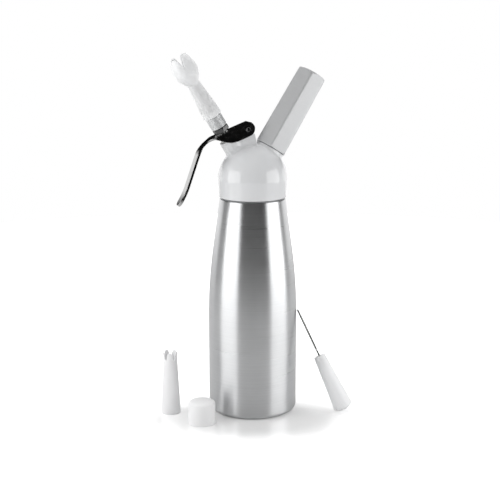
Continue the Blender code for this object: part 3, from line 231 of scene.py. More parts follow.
def share_below(value, limit):
    """1 where the angle is below the limit and 0 above it, with a soft edge."""
    return spread(sky, value, 1.0, 0.0, (limit - SOFT_EDGE / 2, limit + SOFT_EDGE / 2))


bearing = figure(sky, "ARCTAN2", along(sky, toward, side), along(sky, toward, away))
turned_away = figure(sky, "ABSOLUTE", bearing)
rise = figure(sky, "ARCSINE", along(sky, toward, UP))
out_of_front = share_below(turned_away, pi - FRONT_HALF)
lit = figure(sky, "MULTIPLY_ADD", out_of_front, -ROOM_FRONT, ROOM_FRONT)
for half, light in ((SIDE_HALF, ROOM_SIDE), (SWEEP_HALF, SWEEP_LIGHT)):
    lit = figure(sky, "MULTIPLY_ADD", share_below(turned_away, half), light, lit)
lit = figure(sky, "MULTIPLY", lit, share_below(rise, SWEEP_TOP))
room = figure(sky, "ADD", lit, ROOM_DARK)
ray = add(sky, "LightPath").outputs
dull = figure(sky, "SUBTRACT", 1.0, ray["Is Glossy Ray"])
fill = figure(sky, "MULTIPLY_ADD", dull, FILL_LIGHT, room)
grey = add(sky, "Background", {"Color": WHITE, "Strength": fill}).outputs[0]
white = add(sky, "Background", {"Color": WHITE, "Strength": 1.0}).outputs[0]
seen = add(sky, "MixShader", {0: ray["Is Camera Ray"], 1: grey, 2: white})
add(sky, "OutputWorld", {"Surface": seen.outputs[0]})
print("world nodes:", len(sky.nodes))

# %% [markdown]
# The softboxes are area lamps. A softbox looks the same brightness from near and far, so each lamp's
# power is worked out from the brightness that its face should have and from its area. The one above
# and the one high on the left, which lights the slanted faces of the charger holder, are behind scrims
# and too soft to be mirrored.

# %% Softboxes
SOFTBOX_LIGHT = 2.15
TOP_LIGHT = 2.4
HIGH_LIGHT = 2.2


def softbox(name, bearing, distance, height, width, tall, light, aim, mirrored=True):
    """An area lamp at a bearing in degrees from the camera's side, aimed at a height on the axis."""
    turn = CAMERA_BEARING + radians(bearing)
    place = Vector((sin(turn), -cos(turn), 0.0)) * distance + UP * height
    lamp = bpy.data.lights.new(name, "AREA")
    lamp.shape = "RECTANGLE"
    lamp.size, lamp.size_y = width, tall
    lamp.energy = light * pi * width * tall
    obj = bpy.data.objects.new(name, lamp)
    obj.location = place
    obj.rotation_euler = (UP * aim - place).to_track_quat("-Z", "Y").to_euler()
    obj.visible_glossy = mirrored
    link(obj)
    print(name, "power", round(lamp.energy, 2))


softbox("softbox_left", -63.0, 0.80, 0.31, 0.70, 0.58, SOFTBOX_LIGHT, 0.31)
softbox("softbox_right", 72.0, 0.80, 0.31, 0.72, 0.58, SOFTBOX_LIGHT, 0.31)
softbox("softbox_above", 176.0, 0.50, 1.10, 0.90, 0.90, TOP_LIGHT, 0.05, mirrored=False)
softbox("softbox_high", -66.0, 0.70, 0.98, 0.70, 0.45, HIGH_LIGHT, 0.31, mirrored=False)

# %% [markdown]
# The table is a thin rounded sheet of white laminate. It is lit like everything else, so the object
# keeps its soft shadow, and a little light of its own, for the camera's rays only, lifts the unshaded
# part to the white of the background outside an oval in front of the pieces. Inside that oval, where
# their shadows lie, it lifts much less, so the floor there stays grey even where no shadow falls:
# painted shade round the real shadows.

# %% Table
TABLE_RADIUS = 1.15
TABLE_STEPS = 96
TABLE_LIFT = 0.15
FAR_LIFT = 1.0
OVAL_EDGE = (0.4, 1.5)
SHADE_MIDDLE = 0.042
SHADE_WIDE = 0.125
SHADE_DEEP = 0.060

mat, tree, shader, place = begin("white_laminate", ior=2.0, emission_color=WHITE)
grain = noise(tree, place, 4 * MM)
# Painted shade: the camera-only glow is much weaker inside the oval in front of the pieces.
middle = add(tree, "VectorMath", {0: place, 1: tuple(away * SHADE_MIDDLE)}, operation="ADD").outputs[0]
across = along(tree, middle, side / SHADE_WIDE)
deep = along(tree, middle, away / SHADE_DEEP)
shares = add(tree, "CombineXYZ", {0: across, 1: deep}).outputs[0]
distance = add(tree, "VectorMath", {0: shares}, operation="LENGTH").outputs["Value"]
glow_dimmed_in_shade_oval = spread(tree, distance, TABLE_LIFT, FAR_LIFT, OVAL_EDGE, interpolation_type="SMOOTHSTEP")
own_light = figure(tree, "MULTIPLY", add(tree, "LightPath").outputs["Is Camera Ray"], glow_dimmed_in_shade_oval)
dress(shader, base_color=tint(tree, grain, "#ECECEC", "#F0F0F0"),
      roughness=spread(tree, grain, 0.23, 0.27), emission_strength=own_light)

bm = bmesh.new()
bmesh.ops.create_circle(bm, cap_ends=True, segments=TABLE_STEPS, radius=TABLE_RADIUS)
table = as_object("table", bm)
table.data.materials.append(mat)

# %% [markdown]
# ## Metals
# The bottle is spun and drawn from aluminium sheet, then brushed while it turns, so its scratches run
# round it. Such a surface spreads a reflection up and down but not sideways: a lamp becomes a tall
# band with crisp sides. The shader's anisotropy gives that spread, and fine rings of noise in colour,
# roughness and height give the scratches. Real scratches are about 0.05 mm apart; the coarsest are
# drawn about 1 mm apart here, because finer ones alone would not show.

# %% Brushed aluminium bottle
BRUSHED = {"metallic": 1.0, "anisotropic": 0.72, "anisotropic_rotation": 0.25}
SCRATCH = 1.0 * MM
SCRATCH_LENGTHS = (160.0, 160.0, 1.0)

BOTTLE_METAL, tree, shader, place = begin("brushed_aluminium", **BRUSHED)
rings = noise(tree, place, SCRATCH, 4.0, SCRATCH_LENGTHS)
cloud = noise(tree, place, 30 * MM, 2.0)
half = figure(tree, "MULTIPLY", figure(tree, "ADD", rings, cloud), 0.5)
around = add(tree, "Tangent", direction_type="RADIAL", axis="Z").outputs[0]
dress(shader, base_color=tint(tree, half, "#C6C7C8", "#E4E5E6"), tangent=around,
      roughness=spread(tree, rings, 0.27, 0.37), normal=bump(tree, rings, 0.0008 * MM))
print("made", BOTTLE_METAL.name)

# %% [markdown]
# The charger holder is an extruded aluminium bar, bead blasted to a satin finish with faint marks of
# the saw and the lathe across it. The adaptor and the collar are turned parts: their marks are rings
# about their own tilted axis, so the pattern is laid out in that axis's coordinates.

# %% Satin and turned metals
# An axis is given by its tilt in the plane y = 0 and by the height at which it crosses the bottle's.
TILT = radians(31.6)
NOZZLE_LINE = (-TILT, 0.2305)
HOLDER_LINE = (TILT, 0.2335)


def turned_metal(name, line, dark, light, rough, marks=0.4 * MM, stretch=40.0, metallic=1.0):
    """Metal with rings of marks about an axis, and fine grit over them."""
    tilt, cross = line
    mat, tree, shader, place = begin(name, metallic=metallic)
    shift = add(tree, "VectorMath", {0: place, 1: (0.0, 0.0, -cross)}, operation="ADD").outputs[0]
    turn = {"Vector": shift, "Axis": (0.0, 1.0, 0.0), "Angle": -tilt}
    place = add(tree, "VectorRotate", turn, rotation_type="AXIS_ANGLE").outputs[0]
    rings = noise(tree, place, marks, 3.0, (stretch, stretch, 1.0))
    grit = noise(tree, place, 0.6 * MM, 2.0)
    half = figure(tree, "MULTIPLY", figure(tree, "ADD", rings, grit), 0.5)
    roughness = spread(tree, half, rough - 0.05, rough + 0.06)
    dress(shader, base_color=tint(tree, half, dark, light), roughness=roughness,
          normal=bump(tree, half, 0.012 * MM))
    return mat


HOLDER_METAL = turned_metal("satin_aluminium", HOLDER_LINE, "#CCCDCE", "#DCDDDE", 0.50, metallic=0.4)
ADAPTOR_METAL = turned_metal("turned_aluminium", NOZZLE_LINE, "#E0E1E2", "#ECEDED", 0.40, metallic=0.6)
COLLAR_STEEL = turned_metal("dark_turned_steel", NOZZLE_LINE, "#545454", "#666666", 0.12)
TURNED_STEEL = turned_metal("turned_steel", NOZZLE_LINE, "#A9A9A8", "#C6C6C4", 0.24)
PORT_METAL = turned_metal("nickel_plated_brass", HOLDER_LINE, "#BDB8AC", "#D2CEC2", 0.22)
CHARGER_STEEL = turned_metal("drawn_steel", HOLDER_LINE, "#B4B4B3", "#CBCBCA", 0.3, 1.5 * MM, 6.0)
WIRE_STEEL = turned_metal("drawn_wire_steel", (0.0, 0.0), "#747473", "#A2A2A0", 0.20, 0.8 * MM, 1.0)
print("materials so far:", len(bpy.data.materials))

# %% [markdown]
# The lever is stamped from stainless sheet and polished to a mirror. A mirror has no colour of its own
# to speak of: it shows the dark room on its flat top and side and the white sweep on its handle. Very
# fine polishing waves and a few hairlines keep it from looking like a computer's mirror.

# %% Polished steel
HAIRLINES = (12.0, 1.0, 12.0)

LEVER_METAL, tree, shader, place = begin("polished_stainless_steel", metallic=1.0)
wave = noise(tree, place, 6 * MM, 2.0)
hair = noise(tree, place, 0.35 * MM, 3.0, HAIRLINES)
waves = bump(tree, wave, 0.01 * MM)
lines = bump(tree, hair, 0.001 * MM, Normal=waves)
dress(shader, base_color=tint(tree, hair, "#B4B4B4", "#C0C0BF"), normal=lines,
      roughness=spread(tree, hair, 0.05, 0.12))
print("made", LEVER_METAL.name)

# %% [markdown]
# ## Plastics and rubber
# The head is moulded in white polypropylene with a polished mould, so it is glossy with a faint
# orange peel. The nozzles and the brush's handle are natural, milky polypropylene: light enters them,
# wanders and comes out again, which softens their shading. It wanders further in the solid handle than
# in the nozzles' thin walls. The star nozzle gets a copy of the same plastic painted whiter than the
# tulip nozzle's, as painted light that makes up for the dimmer light it gets low on the table. The
# seals are white silicone, matt and slightly dusty.

# %% Moulded plastics, nylon and silicone
GLOSS_COAT = {"coat_weight": 0.7, "coat_roughness": 0.03, "coat_ior": 1.5}


def moulded(name, dark, light, low, high, peel, depth, ior=1.49, **sockets):
    """Plastic from a mould: slow colour variation, orange peel of a given size, and fine scuffs."""
    mat, tree, shader, place = begin(name, ior=ior, **sockets)
    cloud = noise(tree, place, 14 * MM, 3.0)
    skin = noise(tree, place, peel * MM, 2.0)
    scuff = noise(tree, place, 1.2 * MM, 5.0, (1.0, 1.0, 3.0))
    dress(shader, base_color=tint(tree, cloud, dark, light), roughness=spread(tree, scuff, low, high),
          normal=bump(tree, skin, depth * MM))
    return mat


def milky(name, dark, light, share, reach):
    """Milky polypropylene: a share of the light wanders so many metres in it and comes out again."""
    return moulded(name, dark, light, 0.30, 0.40, 1.0, 0.006, subsurface_weight=share,
                   subsurface_scale=reach, subsurface_radius=(1.0, 1.0, 1.0))


HEAD_PLASTIC = moulded("glossy_polypropylene", "#E0E1E3", "#E4E5E6", 0.1, 0.17, 1.6, 0.002, **GLOSS_COAT)
INSERT_PLASTIC = moulded("moulded_polypropylene", "#D6D6D4", "#DEDEDC", 0.38, 0.5, 0.8, 0.01)
CAP_PLASTIC = moulded("satin_polypropylene", "#F8F8F9", "#FCFCFC", 0.34, 0.44, 0.8, 0.008)
MILKY_PLASTIC = milky("milky_polypropylene", "#ECEDEE", "#F0F1F2", 1.0, 0.003)
# Painted light: the star nozzle's copy of the milky plastic is painted whiter than the tulip's.
STAR_PAINTED_WHITER_PLASTIC = milky("milky_polypropylene_painted_whiter", "#F8F8F9", "#FBFBFC", 0.2, 0.0015)
HANDLE_PLASTIC = milky("thick_milky_polypropylene", "#F1F2F3", "#F5F6F7", 1.0, 0.010)
NYLON = moulded("clear_nylon", "#7E7F80", "#909192", 0.3, 0.4, 0.5, 0.002, ior=1.53)
SILICONE = moulded("white_silicone", "#D2D1CE", "#DBDAD7", 0.5, 0.66, 0.5, 0.01, ior=1.41)
print("plastics:", len([m for m in bpy.data.materials if "polypropylene" in m.name]))

# %% [markdown]
# ## Finer meshes
# Most pieces of the dispenser are turned on a lathe or moulded in a round mould, so they are drawn the
# same way: a section of (radius, height) points is turned about an axis. The arcs get many points, so
# that a mirror-like surface shows no facets. A piece on a tilted axis is turned upright first and then
# moved by the axis's matrix, which goes straight into the mesh.

# %% Helpers for turned pieces
ROUND_STEPS = 160
SHARP = radians(38.0)
ON_AXIS = 1e-7


def piece(name, bm, material, body, nodes, sharp=SHARP):
    """A finished piece: smooth shading, its finish, the body it rides on and the nodes it stands for."""
    bmesh.ops.recalc_face_normals(bm, faces=bm.faces)
    obj = as_object(name, bm)
    mesh = obj.data
    mesh.shade_smooth()
    mesh.set_sharp_from_angle(angle=sharp)
    mesh.materials.append(material)
    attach(obj, body)
    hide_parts(*nodes)
    print(name, "faces:", len(mesh.polygons))
    return obj


def curve(centre, radius, start, end, count=9):
    """Points of a round stretch about centre, from the start to the end angle in degrees."""
    angles = np.radians(np.linspace(start, end, count))
    return [(centre[0] + radius * cos(a), centre[1] + radius * sin(a)) for a in angles]


def grid(bm, rows, joined=True):
    """Faces between closed rows of vertices. The last row joins the first, or both get an end face."""
    for first, second in zip(rows, rows[1:] + rows[:1] if joined else rows[1:]):
        for a, b, c, d in zip(first, first[1:] + first[:1], second[1:] + second[:1], second):
            ring = list(dict.fromkeys((a, b, c, d)))
            if len(ring) > 2:
                bm.faces.new(ring)
    if not joined:
        bm.faces.new(rows[0])
        bm.faces.new(rows[-1])


def around_axis(sections, matrix=Matrix()):
    """A skin through (angle, outline) sections about Z. Points on the axis become one vertex."""
    bm = bmesh.new()
    rows = []
    poles = {}
    for angle, outline in sections:
        row = []
        for j, (r, z) in enumerate(outline):
            vert = poles.get(j)
            if vert is None:
                vert = bm.verts.new(matrix @ Vector((r * cos(angle), r * sin(angle), z)))
            if r < ON_AXIS:
                poles[j] = vert
            row.append(vert)
        rows.append(row)
    grid(bm, rows)
    return bm


def turn_about(outline, matrix=Matrix(), steps=ROUND_STEPS):
    """A closed (radius, height) outline turned about Z."""
    return around_axis([(2 * pi * i / steps, outline) for i in range(steps)], matrix)


def tilted(line):
    """The matrix of an axis tilted in the plane y = 0 through a height on the bottle's axis."""
    tilt, cross = line
    return Matrix.Translation(UP * cross) @ Matrix.Rotation(tilt, 4, "Y")


ACROSS = Matrix.Rotation(pi / 2, 4, "X")
NOZZLE_AXIS = tilted(NOZZLE_LINE)
HOLDER_AXIS = tilted(HOLDER_LINE)

# %% [markdown]
# ## The bottle
# The bottle is one drawn aluminium shell: a straight wall, a very large blend into a long cone, a tight
# shoulder under the head, and a threaded neck inside the head. The outline goes up the outside and
# down the inside, so the turned piece is a closed shell with a real wall.

# %% Bottle
GAP = 0.0003
BOTTLE_RADIUS = 0.0441
FOOT_EDGE = 0.0050
SHOULDER_RADIUS = 0.0325
SHOULDER_HEIGHT = 0.2157
SHOULDER_EDGE = 0.0018
CONE_ANGLE = 7.6
BLEND_RADIUS = 0.540
BOTTLE_WALL = 0.0016
BOTTLE_FLOOR = 0.0030
NECK_RADIUS = 0.0275
NECK_BORE = 0.0245
NECK_HEIGHT = 0.0163
THREAD_PITCH = 0.0030
THREAD_DEPTH = 0.0008
THREADS = 4
CREST_SHARE = (0.35, 0.65)
ROOT_SHARE = 0.96
NECK_EDGE = 0.0006
cone = radians(CONE_ANGLE)
cone_corner = SHOULDER_HEIGHT - (BOTTLE_RADIUS - SHOULDER_RADIUS) / tan(cone)
blend_start = cone_corner - BLEND_RADIUS * tan(cone / 2)


def threads(radius, depth, start, pitch, count):
    """Crests and roots of a thread that is drawn as rings, with flat crests."""
    points = [(radius - depth, start)]
    for i in range(count):
        base = start + pitch * i
        points += [(radius, base + pitch * share) for share in CREST_SHARE]
        points += [(radius - depth, base + pitch * ROOT_SHARE)]
    return points


def bottle_section():
    blend = (BOTTLE_RADIUS - BLEND_RADIUS, blend_start)
    foot = (BOTTLE_RADIUS - FOOT_EDGE, FOOT_EDGE)
    edge = (SHOULDER_RADIUS - SHOULDER_EDGE / cos(cone), SHOULDER_HEIGHT - SHOULDER_EDGE)
    root = NECK_RADIUS - THREAD_DEPTH
    rim = SHOULDER_HEIGHT + NECK_HEIGHT - NECK_EDGE
    points = [(0.0, 0.0)] + curve(foot, FOOT_EDGE, -90.0, 0.0, 14)
    points += curve(blend, BLEND_RADIUS, 0.0, CONE_ANGLE, 26)
    points += curve(edge, SHOULDER_EDGE, CONE_ANGLE, 90.0, 10)
    points += [(root, SHOULDER_HEIGHT)]
    points += threads(NECK_RADIUS, THREAD_DEPTH, SHOULDER_HEIGHT + THREAD_PITCH, THREAD_PITCH, THREADS)
    points += curve((root - NECK_EDGE, rim), NECK_EDGE, 0.0, 90.0, 5)
    points += curve((NECK_BORE + NECK_EDGE, rim), NECK_EDGE, 90.0, 180.0, 5)
    inner, inner_edge = BOTTLE_RADIUS - BOTTLE_WALL, FOOT_EDGE - BOTTLE_WALL
    inside_top = SHOULDER_HEIGHT - BOTTLE_WALL
    points += [(NECK_BORE, inside_top), (SHOULDER_RADIUS - BOTTLE_WALL - SHOULDER_EDGE, inside_top)]
    points += curve(blend, BLEND_RADIUS - BOTTLE_WALL, CONE_ANGLE, 0.0, 20)
    points += curve((inner - inner_edge, BOTTLE_FLOOR + inner_edge), inner_edge, 0.0, -90.0, 8)
    return points + [(0.0, BOTTLE_FLOOR)]


def bottle_radius_at(height):
    """The bottle's outside radius at a height on its wall."""
    into_blend = height - blend_start
    if into_blend <= 0.0:
        return BOTTLE_RADIUS
    if into_blend < BLEND_RADIUS * sin(cone):
        return BOTTLE_RADIUS - BLEND_RADIUS + sqrt(BLEND_RADIUS ** 2 - into_blend ** 2)
    return SHOULDER_RADIUS + (SHOULDER_HEIGHT - height) * tan(cone)


bm = turn_about(bottle_section())
piece("aluminium_bottle", bm, BOTTLE_METAL, "bottle", ["bottle"])

# %% [markdown]
# ## The head
# The head is one moulding in which a dome, a round neck, a lug and a boss run into each other with
# soft fillets. Fillets between crossing round shapes are hard to draw with edges, but easy to describe
# as a distance: every simple shape says how far a point is from it, and a smooth minimum of those
# distances is the filleted shape. So the solid from the frame is remeshed finely, and each vertex then
# walks along the distance's slope until it lies on the filleted surface.

# %% Distances of simple shapes
HEAD_RADIUS = 0.0344
HEAD_EQUATOR = 0.2340
HEAD_BOTTOM_RADIUS = 0.0330
HEAD_BOTTOM = SHOULDER_HEIGHT + GAP
HEAD_EDGE = 0.0018


def to_section(r, z, outline):
    """The signed distance of points (r, z) to a closed outline: negative inside."""
    points = np.asarray(outline)
    nearest = np.full(r.shape, np.inf)
    inside = np.zeros(r.shape, bool)
    for (r0, z0), (r1, z1) in zip(points, np.roll(points, -1, axis=0)):
        dr, dz = r1 - r0, z1 - z0
        t = np.clip(((r - r0) * dr + (z - z0) * dz) / (dr * dr + dz * dz), 0.0, 1.0)
        nearest = np.minimum(nearest, (r - r0 - t * dr) ** 2 + (z - z0 - t * dz) ** 2)
        if dz:
            inside ^= ((z0 > z) != (z1 > z)) & (r < dr * (z - z0) / dz + r0)
    return np.where(inside, -1.0, 1.0) * np.sqrt(nearest)


def both(a, b, k):
    """A smooth union: where two shapes meet, a fillet of about k."""
    h = np.maximum(k - np.abs(a - b), 0.0) / k
    return np.minimum(a, b) - h * h * k / 4


def without(a, b, k):
    """Shape a with shape b cut out of it, the edge rounded by about k."""
    return -both(-a, b, k)


def upright(points, matrix):
    """Points in an axis's own coordinates."""
    inverse = np.array(matrix.inverted())
    return points @ inverse[:3, :3].T + inverse[:3, 3]


# %% The head's filleted surface
COVER_NECK_RADIUS = 0.0081
COVER_NECK_FOOT = 0.020
COVER_NECK_TOP = 0.0499
COVER_NECK_EDGE = 0.0005
COVER_BOSS_RADIUS = 0.0148
COVER_BOSS_FOOT = 0.010
COVER_BOSS_TOP = 0.0350
COVER_BOSS_EDGE = 0.0010
PIVOT_OFFSET = 0.02127
PIVOT_HEIGHT = 0.04904
LUG_RADIUS = 0.0032
LUG_FRONT = 0.0252
LUG_FRONT_HEIGHT = 0.0405
LUG_FRONT_STEP = 0.0017
LUG_BACK = 0.001
LUG_FOOT = 0.023
LEVER_WIDTH = 0.0164
LEVER_SHEET = 0.0012
SLOT_HALF = LEVER_WIDTH / 2 - LEVER_SHEET - GAP
NECK_FILLET = 0.0040
FLAT_FILLET = 0.0016
LUG_FILLET = 0.0030
BOSS_FILLET = 0.0024
LUG_EDGE = 0.0008
CUT_EDGE = 0.0005
INSERT_TOP = 0.2417
INSERT_OUTER = 0.0300
VALVE_BOSS_RADIUS = 0.0085
VALVE_BOSS_TOP = 0.0270
SPRING_POCKET = 0.0050
POCKET_FLOOR = 0.010
GAS_BOSS_RADIUS = 0.0090
GAS_BOSS_TOP = 0.0330
PORT_RADIUS = 0.0110
PIN_RADIUS = 0.0016
FAR = 0.050


def mirrored(right):
    """A closed outline whose left half mirrors its right half."""
    return right + [(-r, z) for r, z in reversed(right)]


def rod_section(radius, start, end, edge=0.0):
    """A rod of a radius between two heights, with rounded edges if they are given."""
    right = [(radius, start), (radius, end)]
    if edge:
        right = curve((radius - edge, start + edge), edge, -90.0, 0.0, 5)
        right += curve((radius - edge, end - edge), edge, 0.0, 90.0, 5)
    return mirrored(right)


def dome_section():
    edge = (HEAD_BOTTOM_RADIUS - HEAD_EDGE, HEAD_BOTTOM + HEAD_EDGE)
    right = curve((0.0, HEAD_EQUATOR), HEAD_RADIUS, 90.0, 0.0, 40)
    return mirrored(right + curve(edge, HEAD_EDGE, 0.0, -90.0, 8))


def lug_section():
    """The lug in the plane of the nozzle's axis: (offset from it, height along it)."""
    nose = curve((PIVOT_OFFSET, PIVOT_HEIGHT), LUG_RADIUS, 95.0, -10.0, 9)
    return [
        (-LUG_BACK, LUG_FOOT),
        (-LUG_BACK, COVER_NECK_TOP - GAP),
        (COVER_NECK_RADIUS, COVER_NECK_TOP - GAP),
        *nose,
        (LUG_FRONT, LUG_FRONT_HEIGHT),
        (LUG_FRONT - LUG_FRONT_STEP, COVER_BOSS_TOP),
        (COVER_BOSS_RADIUS, HEAD_RADIUS / 2),
    ]


PIVOT = Vector((PIVOT_OFFSET, 0.0, PIVOT_HEIGHT))
DOME, LUG = dome_section(), lug_section()
NECK = rod_section(COVER_NECK_RADIUS, COVER_NECK_FOOT, COVER_NECK_TOP, COVER_NECK_EDGE)
BOSS = rod_section(COVER_BOSS_RADIUS, COVER_BOSS_FOOT, COVER_BOSS_TOP, COVER_BOSS_EDGE)
CUTS = [
    (Matrix(), rod_section(INSERT_OUTER + GAP, HEAD_BOTTOM - FAR, INSERT_TOP + GAP)),
    (NOZZLE_AXIS, rod_section(VALVE_BOSS_RADIUS + GAP, 0.0, VALVE_BOSS_TOP + GAP)),
    (NOZZLE_AXIS, rod_section(SPRING_POCKET, POCKET_FLOOR, COVER_NECK_TOP + FAR)),
    (HOLDER_AXIS, rod_section(GAS_BOSS_RADIUS + GAP, 0.0, COVER_BOSS_TOP + FAR)),
    (HOLDER_AXIS, rod_section(PORT_RADIUS + GAP, GAS_BOSS_TOP, COVER_BOSS_TOP + FAR)),
    (NOZZLE_AXIS @ Matrix.Translation(PIVOT) @ ACROSS, rod_section(PIN_RADIUS + GAP, -FAR, FAR)),
]


def round_distance(points, outline, matrix=Matrix()):
    """The distance of points to an outline turned about an axis."""
    own = upright(points, matrix)
    return to_section(np.hypot(own[:, 0], own[:, 1]), own[:, 2], outline)


def head_distance(points):
    """The distance to the whole moulding."""
    own = upright(points, NOZZLE_AXIS)
    flat = to_section(own[:, 0], own[:, 2], LUG)
    across = np.abs(own[:, 1]) - SLOT_HALF
    neck = without(round_distance(points, NECK, NOZZLE_AXIS), -across, FLAT_FILLET)
    solid = both(round_distance(points, DOME), neck, NECK_FILLET)
    corner = np.hypot(np.maximum(flat + LUG_EDGE, 0.0), np.maximum(across + LUG_EDGE, 0.0))
    lug = corner + np.minimum(np.maximum(flat, across) + LUG_EDGE, 0.0) - LUG_EDGE
    solid = both(solid, lug, LUG_FILLET)
    solid = both(solid, round_distance(points, BOSS, HOLDER_AXIS), BOSS_FILLET)
    for matrix, outline in CUTS:
        solid = without(solid, round_distance(points, outline, matrix), CUT_EDGE)
    return solid


# %% Remesh the solid and let its vertices walk onto the surface
HEAD_CELL = 0.00055
HEAD_ROUNDS = 7
SLOPE_STEP = 0.00004
LEAST_SLOPE = 0.2
LONGEST_STEP = 0.0006
HEAD_SHARP = radians(60.0)


def walk_onto(mesh, distance, rounds):
    """Move each vertex along the slope of the distance until it lies on the surface."""
    points = np.empty(len(mesh.vertices) * 3)
    mesh.vertices.foreach_get("co", points)
    points = points.reshape(-1, 3)
    for _ in range(rounds):
        value = distance(points)
        slope = np.empty_like(points)
        for axis in range(3):
            ahead = points.copy()
            ahead[:, axis] += SLOPE_STEP
            slope[:, axis] = (distance(ahead) - value) / SLOPE_STEP
        steep = np.maximum((slope ** 2).sum(axis=1), LEAST_SLOPE)
        step = np.clip(value / steep, -LONGEST_STEP, LONGEST_STEP)
        points -= slope * step[:, None]
    mesh.vertices.foreach_set("co", points.ravel())
    mesh.update()
    print("left to walk, in mm:", round(float(np.abs(distance(points)).max()) / MM, 3))


copy = bpy.data.objects.new("head_remesh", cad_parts["head_cover"].data.copy())
link(copy)
head_mesh = modified(copy, "REMESH", mode="VOXEL", voxel_size=HEAD_CELL)
bpy.data.objects.remove(copy)
walk_onto(head_mesh, head_distance, HEAD_ROUNDS)
bm = bmesh.new()
bm.from_mesh(head_mesh)
bpy.data.meshes.remove(head_mesh)
piece("moulded_head", bm, HEAD_PLASTIC, "head", ["head_cover"], HEAD_SHARP)

# %% [markdown]
# ## The nut on the neck, the collar and the adaptor
# These small turned parts sit on the nozzle's axis. Their edges are broken with tiny chamfers, which
# is what catches the light on real turned parts. The adaptor's fine thread is drawn as rings.

# %% Turned parts on the nozzle's axis
STEM_RADIUS = 0.0032
STEM_CLEAR = STEM_RADIUS + GAP
NUT_RADIUS = 0.0060
NUT_THICKNESS = 0.0014
NUT_SPIGOT = 0.0059
BREAK = 0.0002
LEVER_SLOPE = 20.9
LEVER_WEB_HEIGHT = 0.0050
COLLAR_FLATS = 0.0144
COLLAR_THICKNESS = 0.0048
ADAPTOR_RADIUS = 0.0080
ADAPTOR_LENGTH = 0.0123
ADAPTOR_THREADS = 11
ADAPTOR_THREAD_DEPTH = 0.00045
SPIGOT_RADIUS = 0.0072
SPIGOT_LENGTH = 0.0108
STEM_TOP = 0.0760
ADAPTOR_OUTLET = 0.0025
REST_ANGLE = TILT - radians(LEVER_SLOPE)
PRESS_REACH = PIVOT_OFFSET + COLLAR_FLATS / 2
COLLAR_BOTTOM = (
    PIVOT_HEIGHT + LEVER_WEB_HEIGHT / cos(REST_ANGLE) + PRESS_REACH * tan(REST_ANGLE) + GAP
)
ADAPTOR_BOTTOM = COLLAR_BOTTOM + COLLAR_THICKNESS + GAP
ADAPTOR_SHOULDER = ADAPTOR_BOTTOM + ADAPTOR_LENGTH
ADAPTOR_TOP = ADAPTOR_SHOULDER + SPIGOT_LENGTH

shoulder = COVER_NECK_TOP + GAP
nut_bottom, nut_top = shoulder - NUT_SPIGOT, shoulder + NUT_THICKNESS
nut = [(STEM_CLEAR, nut_bottom), (SPRING_POCKET - GAP, nut_bottom), (SPRING_POCKET - GAP, shoulder)]
nut += [(NUT_RADIUS - BREAK, shoulder), (NUT_RADIUS, shoulder + BREAK), (NUT_RADIUS, nut_top - BREAK)]
nut += [(NUT_RADIUS - BREAK, nut_top), (STEM_CLEAR + BREAK, nut_top), (STEM_CLEAR, nut_top - BREAK)]
piece("neck_nut", turn_about(nut, NOZZLE_AXIS), TURNED_STEEL, "head", ["valve_nut"])

root = ADAPTOR_RADIUS - ADAPTOR_THREAD_DEPTH
pitch = (ADAPTOR_LENGTH - 2 * ADAPTOR_THREAD_DEPTH) / ADAPTOR_THREADS
ring_start = ADAPTOR_BOTTOM + ADAPTOR_THREAD_DEPTH
stem_end = STEM_TOP + GAP
adaptor = [(STEM_CLEAR, ADAPTOR_BOTTOM), (root - BREAK, ADAPTOR_BOTTOM), (root, ADAPTOR_BOTTOM + BREAK)]
adaptor += threads(ADAPTOR_RADIUS, ADAPTOR_THREAD_DEPTH, ring_start, pitch, ADAPTOR_THREADS)
adaptor += [(root, ADAPTOR_SHOULDER), (SPIGOT_RADIUS, ADAPTOR_SHOULDER)]
adaptor += [(SPIGOT_RADIUS, ADAPTOR_TOP - BREAK), (SPIGOT_RADIUS - BREAK, ADAPTOR_TOP)]
adaptor += [(ADAPTOR_OUTLET, ADAPTOR_TOP), (ADAPTOR_OUTLET, stem_end), (STEM_CLEAR, stem_end)]
bm = turn_about(adaptor, NOZZLE_AXIS, 96)
piece("threaded_adaptor", bm, ADAPTOR_METAL, "stem", ["tip_adaptor"])

# %% [markdown]
# The collar is a slice of hexagonal bar, turned at both ends so that its corners are rounded off. The
# charger holder is made in the same way from a much larger bar. For such a piece the radius at each
# angle is the smaller of two: that of the rounded hexagon and that of the lathe's cut.

# %% Helper for turned hexagonal bars
SIDE_STEPS = 16


def hexagon_radius(angle, flats, corner):
    """The radius of a hexagon with rounded corners at an angle, a corner lying at angle 0."""
    half_side = pi / 6
    centre = (flats / 2 - corner) / cos(half_side)
    folded = abs((angle + half_side) % (2 * half_side) - half_side)
    touch = atan2(corner * sin(half_side), centre + corner * cos(half_side))
    if folded < touch:
        return centre * cos(folded) + sqrt(corner ** 2 - (centre * sin(folded)) ** 2)
    return flats / 2 / cos(half_side - folded)


def turned_bar(levels, bore, matrix, turn, corner):
    """A bar of (height, flats, lathe radius) levels with a bore given as (radius, height) points."""
    shares = [(1 - cos(pi * i / SIDE_STEPS)) / 2 for i in range(SIDE_STEPS)]
    sections = []
    for angle in [pi / 3 * (side + share) for side in range(6) for share in shares]:
        outer = [(min(hexagon_radius(angle, flats, corner), cut), z) for z, flats, cut in levels]
        sections.append((angle + turn, outer + bore))
    return around_axis(sections, matrix)


# %% Collar and charger holder
COLLAR_CORNER = 0.0008
COLLAR_CUTS = ((0.0, 0.0012), (0.0004, 0.0004), (0.0009, 0.0))
HOLDER_FLATS = 0.0303
HOLDER_TOP_FLATS = 0.0280
HOLDER_LENGTH = 0.0837
HOLDER_CORNER = 0.0016
HOLDER_TURN = radians(6.9)
HOLDER_EDGE = 0.0022
HOLDER_BOTTOM = COVER_BOSS_TOP + GAP
HOLDER_THREAD_DEPTH = 0.0127
CHARGER_RADIUS = 0.0093
CHARGER_END = 0.1080

